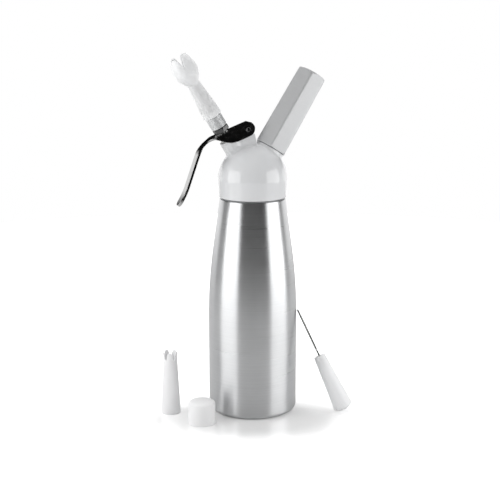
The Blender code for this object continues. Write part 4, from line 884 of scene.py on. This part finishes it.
collar_top = COLLAR_BOTTOM + COLLAR_THICKNESS
widest = COLLAR_FLATS / sqrt(3)
levels = [(COLLAR_BOTTOM + up, COLLAR_FLATS, widest - off) for up, off in COLLAR_CUTS]
levels += [(collar_top - up, COLLAR_FLATS, widest - off) for up, off in reversed(COLLAR_CUTS)]
bore = [(STEM_CLEAR, collar_top), (STEM_CLEAR, COLLAR_BOTTOM)]
bm = turned_bar(levels, bore, NOZZLE_AXIS, pi / 6, COLLAR_CORNER)
piece("press_collar", bm, COLLAR_STEEL, "stem", ["stem_collar"])

holder_top = HOLDER_BOTTOM + HOLDER_LENGTH


def holder_flats(z):
    return HOLDER_FLATS + (HOLDER_TOP_FLATS - HOLDER_FLATS) * (z - HOLDER_BOTTOM) / HOLDER_LENGTH


widest = HOLDER_FLATS / sqrt(3)
narrowest = HOLDER_TOP_FLATS / sqrt(3)
low_edge = curve((widest - HOLDER_EDGE, HOLDER_BOTTOM + HOLDER_EDGE), HOLDER_EDGE, -90.0, 0.0, 8)
top_edge = 2 * HOLDER_EDGE
high_edge = curve((narrowest - top_edge, holder_top - top_edge), top_edge, 20.0, 90.0, 12)
levels = [(z, holder_flats(z), r) for r, z in low_edge + high_edge]
bore = [(0.0, holder_top), (0.0, CHARGER_END + GAP)]
bore += curve((0.0, CHARGER_END - CHARGER_RADIUS), CHARGER_RADIUS + GAP, 88.0, 0.0, 8)
bore += [(CHARGER_RADIUS + GAP, HOLDER_BOTTOM + HOLDER_THREAD_DEPTH)]
bore += [(PORT_RADIUS + GAP, HOLDER_BOTTOM + HOLDER_THREAD_DEPTH), (PORT_RADIUS + GAP, HOLDER_BOTTOM)]
bm = turned_bar(levels, bore, HOLDER_AXIS, HOLDER_TURN, HOLDER_CORNER)
piece("hexagonal_holder", bm, HOLDER_METAL, "holder", ["charger_holder"])

# %% [markdown]
# ## The lever
# The lever starts as a flat stamping. Its sides are folded down into two ears that hold the pin, the
# folds run out towards the handle, and the handle is bent down and narrows. It is drawn as a row of
# cross sections, each with a rounded fold on both sides, strung along the lever's line.

# %% Lever
EAR_RADIUS = 0.0073
WEB_END = 0.0340
BEND_RADIUS = 0.0280
BEND_ANGLE = 49.5
HANDLE_STRAIGHT = 0.0303
CURL_RADIUS = 0.0750
CURL_ANGLE = 16.0
LEVER_WAIST_WIDTH = 0.0076
LEVER_WAIST_DEPTH = 0.0021
LEVER_NARROWING_START = 0.0320
LEVER_WAIST_START = 0.0420
LEVER_WAIST_END = 0.0470
HANDLE_START = 0.0560
HANDLE_WIDTH = 0.0097
HANDLE_DEPTH = 0.0027
FOLD_OUTSIDE = 0.0006
FOLD_INSIDE = 0.0003
FOLD_POINTS = 6
SUPPORT = 0.00012
LIP = 0.0006
THINNEST = LEVER_SHEET + 0.0004
BLUNT = 0.06
SMOOTH_STEPS = 400
SMOOTH_WIDTH = 30
EAR_ANGLES = np.radians(np.linspace(4.0, 88.0, 22))
WEB_PLACES = np.linspace(0.0, 0.97, 34)
BEND_SHARES = np.linspace(0.0, 1.0, 26)
HANDLE_SHARES = (0.25, 0.5, 0.75)
CURL_SHARES = (*np.linspace(0.0, 0.8, 9), *np.linspace(0.83, 1.0, 10))
FLANGE_SHARES = (
    (0.0, 1.0), (0.15, 1.016), (0.3, 1.02), (0.45, 1.0), (0.58, 0.93), (0.7, 0.77), (0.8, 0.58),
    (0.9, 0.36),
)


def stepped(table, place):
    """The value at a place from a table of (place, value), with soft steps between its entries."""
    for (start, first), (end, second) in zip(table, table[1:]):
        if place <= end:
            share = (1 - cos(pi * max(place - start, 0.0) / (end - start))) / 2
            return first + (second - first) * share
    return table[-1][1]


def lever_half(run):
    """Half the lever's width where its line has run so far from the pin."""
    wide, waist = LEVER_WIDTH / 2, LEVER_WAIST_WIDTH / 2
    ends = ((LEVER_NARROWING_START, wide), (LEVER_WAIST_START, waist), (LEVER_WAIST_END, waist))
    return stepped(ends + ((HANDLE_START, HANDLE_WIDTH / 2),), run)


def lever_rim(run):
    """How far the rims reach below the top beyond the ears."""
    return stepped(((LEVER_WAIST_END, LEVER_WAIST_DEPTH), (HANDLE_START, HANDLE_DEPTH)), run)


def smoothed(table, places):
    """A table's values at some places, with the corners between them smoothed."""
    xs, ys = np.array(table).T
    fine = np.linspace(xs[0], xs[-1], SMOOTH_STEPS)
    padded = np.pad(np.interp(fine, xs, ys), SMOOTH_WIDTH, mode="edge")
    kernel = np.hanning(2 * SMOOTH_WIDTH + 1)
    smooth = np.convolve(padded, kernel / kernel.sum(), mode="valid")
    return np.interp(places, fine, smooth)


def lever_stations():
    """Each station: place along and above the pivot, heading, half width, and depth below the top."""
    deep = LEVER_WEB_HEIGHT + EAR_RADIUS
    half, narrow = LEVER_WIDTH / 2, HANDLE_WIDTH / 2
    stations = []
    for angle in EAR_ANGLES:
        up = EAR_RADIUS * sin(angle)
        top = min(up, LEVER_WEB_HEIGHT)
        stations.append((-EAR_RADIUS * cos(angle), top, 0.0, half, top + up))
    table = FLANGE_SHARES + ((1.0, LEVER_WAIST_DEPTH / deep),)
    for place, share in zip(WEB_PLACES, smoothed(table, WEB_PLACES)):
        run = WEB_END * place
        depth = max(deep * share, LEVER_WAIST_DEPTH)
        stations.append((run, LEVER_WEB_HEIGHT, 0.0, lever_half(run), depth))
    for share in BEND_SHARES:
        turn = radians(BEND_ANGLE * share)
        x = WEB_END + BEND_RADIUS * sin(turn)
        z = LEVER_WEB_HEIGHT - BEND_RADIUS * (1 - cos(turn))
        run = WEB_END + BEND_RADIUS * turn
        stations.append((x, z, turn, lever_half(run), lever_rim(run)))
    ahead, down = HANDLE_STRAIGHT * cos(turn), HANDLE_STRAIGHT * sin(turn)
    for share in HANDLE_SHARES:
        stations.append((x + ahead * share, z - down * share, turn, narrow, HANDLE_DEPTH))
    curl_x = x + ahead + CURL_RADIUS * sin(turn)
    curl_z = z - down + CURL_RADIUS * cos(turn)
    for share in CURL_SHARES:
        turn = radians(BEND_ANGLE - CURL_ANGLE * share)
        left = min(radians(CURL_ANGLE) * (1.0 - share) * CURL_RADIUS / narrow, 1.0)
        width = narrow * sqrt(max(1 - (1 - left) ** 2, BLUNT))
        x, z = curl_x - CURL_RADIUS * sin(turn), curl_z - CURL_RADIUS * cos(turn)
        stations.append((x, z, turn, width, HANDLE_DEPTH))
    return stations


def channel_section(half, depth):
    """Half a turn down each side: (across, below the top) points of a folded sheet.

    Points close to each bend keep its shading off the flat parts, which mirror the room.
    """
    fold = min(FOLD_OUTSIDE, depth * 0.5, half * 0.7)
    sheet = min(LEVER_SHEET, half * 0.6)
    lip = min(sheet, LIP) / 2
    inner = half - sheet
    inside = min(FOLD_INSIDE, max(depth - LEVER_SHEET, 0.0) * 0.5, inner * 0.5)
    near = min(SUPPORT, (depth - fold) / 4)
    right = [(half - fold - SUPPORT, 0.0)] + curve((half - fold, fold), fold, -90.0, 0.0, FOLD_POINTS)
    right += [(half, fold + near), (half, depth - lip - near), (half, depth - lip)]
    right += [(half - lip * 0.3, depth - lip * 0.3), (half - lip, depth)]
    right += [(inner + lip, depth), (inner + lip * 0.3, depth - lip * 0.3), (inner, depth - lip)]
    right += curve((inner - inside, LEVER_SHEET + inside), inside, 0.0, -90.0, 4)
    return mirrored(right)


def lever_mesh():
    bm = bmesh.new()
    rows = []
    for ahead, up, turn, half, depth in lever_stations():
        section = channel_section(half, max(depth, THINNEST))
        places = [(s * sin(turn) - ahead, y, up - s * cos(turn)) for y, s in section]
        rows.append([bm.verts.new(place) for place in places])
    grid(bm, rows, joined=False)
    bmesh.ops.recalc_face_normals(bm, faces=bm.faces)
    return bm


def cut_holes(bm, holes):
    """Cut round holes through a mesh: each is a radius, a length and the matrix of its axis."""
    obj = as_object("cut_base", bm)
    for radius, length, matrix in holes:
        cutter = bmesh.new()
        bmesh.ops.create_cone(
            cutter, cap_ends=True, segments=HOLE_STEPS, radius1=radius, radius2=radius, depth=length,
            matrix=matrix,
        )
        tool = as_object("cutter", cutter)
        obj.data = modified(obj, "BOOLEAN", operation="DIFFERENCE", solver="EXACT", object=tool)
        bpy.data.objects.remove(tool)
    result = bmesh.new()
    result.from_mesh(obj.data)
    bpy.data.objects.remove(obj)
    return result


HOLE_RADIUS = 0.0050
HOLE_PLACE = 0.0220
HOLE_LENGTH = 0.010
HOLE_STEPS = 48
LEVER_SHARP = radians(50.0)
holes = [
    (HOLE_RADIUS, HOLE_LENGTH, Matrix.Translation((-HOLE_PLACE, 0.0, LEVER_WEB_HEIGHT))),
    (PIN_RADIUS + GAP, 3 * LEVER_WIDTH, ACROSS),
]
pivot = Matrix.Translation(NOZZLE_AXIS @ PIVOT)
bm = cut_holes(lever_mesh(), holes)
bm.transform(pivot @ Matrix.Rotation(-radians(LEVER_SLOPE), 4, "Y"))
piece("stamped_lever", bm, LEVER_METAL, "lever", ["lever"], LEVER_SHARP)

# %% The lever's pin
PIN_HEAD_RADIUS = 0.0025
PIN_HEAD_THICKNESS = 0.0008
PIN_DIMPLE = 0.00025
PIN_DIMPLE_EDGE = 0.00022
PIN_CHAMFER = 0.00035
ear = LEVER_WIDTH / 2 + GAP
end = ear + PIN_HEAD_THICKNESS
crown = [(0.0, 0.0), (0.45, 0.0), (0.55, PIN_DIMPLE), (0.7, PIN_DIMPLE_EDGE), (0.8, 0.0)]
crown += [(1.0, PIN_CHAMFER)]
crown = [(PIN_HEAD_RADIUS * share, end - down) for share, down in crown]
crown += [(PIN_HEAD_RADIUS, ear), (PIN_RADIUS, ear)]
bm = turn_about(crown + [(r, -z) for r, z in reversed(crown)], pivot @ ACROSS, 64)
piece("riveted_pin", bm, COLLAR_STEEL, "head", ["lever_pin"])

# %% [markdown]
# ## The two decorating nozzles
# Both nozzles are thin tapered mouldings whose mouth is cut into teeth. Each column of the mesh runs
# up the outside, over the rim and down the inside, and the notch decides how high a column reaches.
# So the teeth are real geometry with a real thickness, and the rim is rounded by its own few points.

# %% Helper for nozzles
NOZZLE_WALL = 0.0012
RIM_CORNER = NOZZLE_WALL * 0.12
RIM_FLAT = NOZZLE_WALL * 0.4
SOCKET_RADIUS = SPIGOT_RADIUS + GAP
SOCKET_DEPTH = SPIGOT_LENGTH + GAP
STEP = 0.001
BELOW_POINTS = 34
ABOVE_POINTS = 13


def nozzle(outer, bottom, shoulder, notch, teeth, shape, turn, matrix, per_tooth):
    """A nozzle whose outside radius is outer(height) and whose teeth follow the shape table."""
    floor = bottom + SOCKET_DEPTH + STEP
    low = np.linspace(bottom, shoulder - STEP, BELOW_POINTS)
    sections = []
    for column in range(teeth * per_tooth):
        place = column / per_tooth % 1.0
        reach = shoulder + notch * float(np.interp(min(place, 1 - place), *np.array(shape).T))
        high = np.linspace(shoulder - STEP, reach - RIM_FLAT, ABOVE_POINTS)[1:]
        tall = np.concatenate((low, high))
        rim_out, rim_in = outer(reach), outer(reach) - NOZZLE_WALL
        section = [(outer(z), z) for z in tall]
        section += [(rim_out - RIM_CORNER, reach - RIM_CORNER), (rim_out - RIM_FLAT, reach)]
        section += [(rim_in + RIM_FLAT, reach), (rim_in + RIM_CORNER, reach - RIM_CORNER)]
        section += [(outer(z) - NOZZLE_WALL, z) for z in tall[::-1] if z > floor]
        section += [(outer(floor) - NOZZLE_WALL, floor), (SOCKET_RADIUS, floor - STEP)]
        section += [(SOCKET_RADIUS, bottom)]
        sections.append((2 * pi * column / (teeth * per_tooth) + turn, section))
    return around_axis(sections, matrix)


# %% Tulip nozzle
TULIP_BASE = 0.0095
TULIP_NECK = 0.0061
TULIP_NECK_LENGTH = 0.0355
TULIP_BULB = 0.0119
TULIP_BULB_LENGTH = 0.0293
TULIP_NOTCH = 0.0121
TULIP_MOUTH = 0.0088
TULIP_TURN = radians(78.0)
TULIP_PETALS = 4
TULIP_BELLY = 0.44
TULIP_SWELL = 1.15
TULIP_CLOSING = 1.7
TULIP_SHAPE = (
    (0.0, 0.0), (0.012, 0.06), (0.055, 0.3), (0.115, 0.6), (0.155, 0.76), (0.2, 0.87), (0.26, 0.95),
    (0.34, 0.99), (0.5, 1.0),
)
tulip_bottom = ADAPTOR_SHOULDER + GAP
tulip_neck = tulip_bottom + TULIP_NECK_LENGTH
tulip_mouth = tulip_neck + TULIP_BULB_LENGTH
tulip_belly = tulip_neck + TULIP_BULB_LENGTH * TULIP_BELLY


def tulip_radius(z):
    if z <= tulip_neck:
        return TULIP_BASE + (TULIP_NECK - TULIP_BASE) * (z - tulip_bottom) / TULIP_NECK_LENGTH
    if z <= tulip_belly:
        share = (z - tulip_neck) / (tulip_belly - tulip_neck)
        return TULIP_NECK + (TULIP_BULB - TULIP_NECK) * sin(share * pi / 2) ** TULIP_SWELL
    share = (z - tulip_belly) / (tulip_mouth - tulip_belly)
    return TULIP_BULB + (TULIP_MOUTH - TULIP_BULB) * share ** TULIP_CLOSING


tulip_teeth = (TULIP_NOTCH, TULIP_PETALS, TULIP_SHAPE, TULIP_TURN)
bm = nozzle(tulip_radius, tulip_bottom, tulip_mouth - TULIP_NOTCH, *tulip_teeth, NOZZLE_AXIS, 64)
piece("tulip_nozzle", bm, MILKY_PLASTIC, "nozzle", ["tulip_tip"])

# %% Star nozzle
STAR_PLACE = (-0.08355, 0.01077, 0.0)
STAR_BASE = 0.0098
STAR_TOP = 0.0070
STAR_MOUTH = 0.0076
STAR_HEIGHT = 0.0634
STAR_NOTCH = 0.0074
STAR_TURN = radians(70.3)
STAR_TEETH = 5
STAR_SHAPE = (
    (0.0, 0.0), (0.06, 0.0), (0.1, 0.06), (0.14, 0.36), (0.18, 0.6), (0.25, 0.83), (0.34, 0.97),
    (0.42, 1.0), (0.5, 1.0),
)
star_shoulder = STAR_HEIGHT - STAR_NOTCH


def star_radius(z):
    if z <= star_shoulder:
        return STAR_BASE + (STAR_TOP - STAR_BASE) * z / star_shoulder
    return STAR_TOP + (STAR_MOUTH - STAR_TOP) * (z - star_shoulder) / STAR_NOTCH


star_teeth = (STAR_NOTCH, STAR_TEETH, STAR_SHAPE, STAR_TURN)
bm = nozzle(star_radius, 0.0, star_shoulder, *star_teeth, Matrix.Translation(STAR_PLACE), 48)
# The star nozzle's plastic is painted whiter, as painted light for the dimmer light it gets.
piece("star_nozzle", bm, STAR_PAINTED_WHITER_PLASTIC, "spare_nozzle", ["star_tip"])

# %% [markdown]
# ## The cap and the brush
# The cap protects the gas port's thread; it is a plain thick moulding with a low dome. The brush
# has a tapered handle with a domed foot, a stem of two wires twisted together, and bristles that
# the twist holds. Only the last stretch carries bristles, and they are very thin.

# %% Cap
CAP_PLACE = (-0.06317, -0.02832, 0.0)
CAP_RADIUS = 0.0133
CAP_SIDE_HEIGHT = 0.0194
CAP_DOME_RISE = 0.0042
CAP_DOME_POWER = 2.8
CAP_DEPTH = 0.0185
CAP_CEILING_EDGE = 0.0030
CAP_RIM = 0.0005
CAP_STEP = 0.0002
CAP_MOUTH = 0.0004
cap_bore = PORT_RADIUS + GAP
ceiling_edge = (cap_bore - CAP_CEILING_EDGE, CAP_DEPTH - CAP_CEILING_EDGE)
section = [(0.0, CAP_DEPTH)] + curve(ceiling_edge, CAP_CEILING_EDGE, 90.0, 0.0, 8)
section += [(cap_bore, CAP_MOUTH), (cap_bore + CAP_MOUTH, 0.0)]
section += curve((CAP_RADIUS - CAP_RIM, CAP_RIM), CAP_RIM, -90.0, 0.0, 5)
section += curve((CAP_RADIUS - CAP_STEP, CAP_SIDE_HEIGHT - CAP_STEP), CAP_STEP, 0.0, 90.0, 4)
for turn in np.radians(np.linspace(0.0, 90.0, 30)[:-1]):
    across = (CAP_RADIUS - 1.5 * CAP_STEP) * cos(turn) ** (2 / CAP_DOME_POWER)
    up = CAP_DOME_RISE * sin(turn) ** (2 / CAP_DOME_POWER)
    section += [(across, CAP_SIDE_HEIGHT + up)]
section += [(0.0, CAP_SIDE_HEIGHT + CAP_DOME_RISE)]
bm = turn_about(section, Matrix.Translation(CAP_PLACE))
piece("port_cap", bm, CAP_PLASTIC, "cap", ["thread_cap"])

# %% Brush line and handle
BRUSH_FOOT = (0.0830, -0.0460)
BRUSH_TIP_HEIGHT = 0.1020
BRUSH_TIP_BEARING = radians(-23.8)
BRUSH_HANDLE = 0.0605
BRUSH_BOTTOM_RADIUS = 0.0098
BRUSH_TOP_RADIUS = 0.0061
BRUSH_DOME = 0.0030
BRUSH_EDGE = 0.0014
WIRE_RADIUS = 0.0008
BRUSH_SOCKET = 0.0090
BRISTLE_ZONE = 0.0450


def turned_to(direction):
    """The matrix that turns upward into a direction."""
    return UP.rotation_difference(direction).to_matrix().to_4x4()


rim = BRUSH_BOTTOM_RADIUS - BRUSH_EDGE
dome = (rim ** 2 + BRUSH_DOME ** 2) / (2 * BRUSH_DOME)
reach = bottle_radius_at(BRUSH_TIP_HEIGHT) + WIRE_RADIUS + GAP
tip = Vector((cos(BRUSH_TIP_BEARING), sin(BRUSH_TIP_BEARING), 0.0)) * reach
tip += UP * BRUSH_TIP_HEIGHT
foot = Vector((*BRUSH_FOOT, 0.0))
lean = (tip - foot).normalized()
foot += lean * (dome * (1 - lean.z) / lean.z)
brush_length = (tip - foot).length
brush_axis = Matrix.Translation(foot) @ turned_to(lean)

half_dome = degrees(asin(rim / dome))
section = [(0.0, 0.0)] + curve((0.0, dome), dome, -90.0, -90.0 + half_dome, 10)[1:]
section += curve((rim, BRUSH_DOME + BRUSH_EDGE), BRUSH_EDGE, -60.0, 0.0, 7)
section += curve((BRUSH_TOP_RADIUS - BRUSH_EDGE, BRUSH_HANDLE - BRUSH_EDGE), BRUSH_EDGE, 0.0, 90.0, 8)
section += [(WIRE_RADIUS + GAP, BRUSH_HANDLE), (WIRE_RADIUS + GAP, BRUSH_HANDLE - BRUSH_SOCKET)]
section += [(0.0, BRUSH_HANDLE - BRUSH_SOCKET)]
bm = turn_about(section, brush_axis, 96)
piece("tapered_handle", bm, HANDLE_PLASTIC, "brush", ["brush_handle"])

# %% Twisted wire and bristles
STRAND_RADIUS = 0.00052
STRAND_OFFSET = 0.00046
TWIST_PITCH = 0.0050
STRAND_SIDES = 10
BRISTLES = 280
BRISTLE_RADIUS = 0.00006
BRISTLE_LONG = 0.0048
BRISTLE_LEAST = 0.0012
BRISTLE_END = 0.0008
BRISTLE_SPREAD = 0.12
SHORTER_SHARE = 0.85
TAPER = 0.7
TWIST_STEPS = 14
BRISTLE_SEED = 7
GOLDEN_ANGLE = radians(137.508)


def tube_along(bm, points, radius, sides, matrix):
    """A tube that follows a line of points."""
    rows = []
    for i, point in enumerate(points):
        ahead = (points[min(i + 1, len(points) - 1)] - points[max(i - 1, 0)]).normalized()
        across = ahead.orthogonal() if abs(ahead.z) < 0.5 else ahead.cross(Vector((0.0, 1.0, 0.0)))
        across.normalize()
        other = ahead.cross(across)
        turns = [2 * pi * j / sides for j in range(sides)]
        ring = [point + (across * cos(a) + other * sin(a)) * radius for a in turns]
        rows.append([bm.verts.new(matrix @ place) for place in ring])
    grid(bm, rows, joined=False)


def helix(radius, start, end, pitch, count, turn=0.0):
    """Points up a helix about Z, whose angle at the start is the turn."""
    heights = [start + (end - start) * i / count for i in range(count + 1)]
    angles = [turn + 2 * pi * (z - start) / pitch for z in heights]
    return [Vector((radius * cos(a), radius * sin(a), z)) for a, z in zip(angles, heights)]


def twisted(start, end):
    """Two wires twisted about each other along the brush's axis."""
    bm = bmesh.new()
    count = int((end - start) / TWIST_PITCH * TWIST_STEPS)
    for strand in (0.0, pi):
        first = strand + 2 * pi * start / TWIST_PITCH
        line = helix(STRAND_OFFSET, start, end, TWIST_PITCH, count, first)
        tube_along(bm, line, STRAND_RADIUS, STRAND_SIDES, brush_axis)
    return bm


wire_start = BRUSH_HANDLE - BRUSH_SOCKET + GAP
wire_end = brush_length - BRISTLE_ZONE - GAP
bm = twisted(wire_start, wire_end)
piece("twisted_wire", bm, WIRE_STEEL, "brush", ["brush_wire"])

bm = twisted(wire_end + 2 * GAP, brush_length)
piece("bristle_wire", bm, WIRE_STEEL, "brush", ["brush_bristles"])


def room_for_bristle(base, way):
    """How far a bristle can grow from its base before it would meet the bottle."""
    a = way.xy.length_squared
    b = base.xy.dot(way.xy)
    c = base.xy.length_squared - (bottle_radius_at(base.z) + 2 * GAP) ** 2
    if b < 0.0 and b * b - a * c > 0.0:
        return (-b - sqrt(b * b - a * c)) / a
    return BRISTLE_LONG


bm = bmesh.new()
to_brush = brush_axis.to_3x3()
rng = np.random.default_rng(BRISTLE_SEED)
for i in range(BRISTLES):
    up_zone = BRISTLE_END + (BRISTLE_ZONE - 2 * BRISTLE_END) * i / (BRISTLES - 1)
    height = brush_length - BRISTLE_ZONE + up_zone
    angle = GOLDEN_ANGLE * i
    rise = rng.uniform(-BRISTLE_SPREAD, BRISTLE_SPREAD)
    outward = Vector((cos(angle), sin(angle), rise)).normalized()
    base = brush_axis @ (UP * height)
    length = BRISTLE_LONG * rng.uniform(SHORTER_SHARE, 1.0)
    length = min(length, room_for_bristle(base, to_brush @ outward))
    if length < BRISTLE_LEAST:
        continue
    middle = Matrix.Translation(outward * (STRAND_OFFSET / 2 + length) / 2 + UP * height)
    bmesh.ops.create_cone(
        bm, cap_ends=True, segments=4, radius1=BRISTLE_RADIUS, radius2=BRISTLE_RADIUS * TAPER,
        depth=length - STRAND_OFFSET / 2, matrix=brush_axis @ middle @ turned_to(outward),
    )
piece("nylon_bristles", bm, NYLON, "brush", ["brush_bristles"])

# %% [markdown]
# ## The parts inside
# The parts that the photograph hides keep their solids from the frame, because their shapes are
# already right. They still get real finishes: they show when the head, the holder or the nozzle is
# taken off. Only the valve spring is drawn again, as a finer helix, because it shortens along its own
# tilted axis when the lever is pressed.

# %% Valve spring
SPRING_WIRE = 0.00045
SPRING_RADIUS = 0.00425
SPRING_START = 0.02775
SPRING_END = 0.04025
SPRING_TURNS = 6
SPRING_STEPS = 24
SPRING_SIDES = 12

tall = SPRING_END - SPRING_START
pitch = tall / SPRING_TURNS
line = helix(SPRING_RADIUS, SPRING_START, SPRING_END, pitch, SPRING_TURNS * SPRING_STEPS)
bm = bmesh.new()
tube_along(bm, line, SPRING_WIRE, SPRING_SIDES, NOZZLE_AXIS)
coil = piece("valve_coil", bm, TURNED_STEEL, "head", ["valve_spring"])
foot = NOZZLE_AXIS @ (UP * (SPRING_START - SPRING_WIRE))
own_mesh(coil)

# %% Finishes of the parts inside
FINISHES = (
    (INSERT_PLASTIC, ["head_insert"]),
    (SILICONE, ["head_gasket", "check_valve", "port_gasket", "valve_seal", "stem_ring"]),
    (PORT_METAL, ["gas_port"]),
    (TURNED_STEEL, ["valve_stem", "seal_nut"]),
    (CHARGER_STEEL, ["piercing_pin", "gas_charger"]),
)

for finish, nodes in FINISHES:
    for node in nodes:
        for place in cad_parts[node].material_slots:
            place.material = finish
    print(finish.name, "on", ", ".join(nodes))

# %% [markdown]
# ## Colour management and the end
# The picture is shown with the Standard view, so a colour comes out as it was written.

# %% Finish
scene.view_settings.view_transform = "Standard"
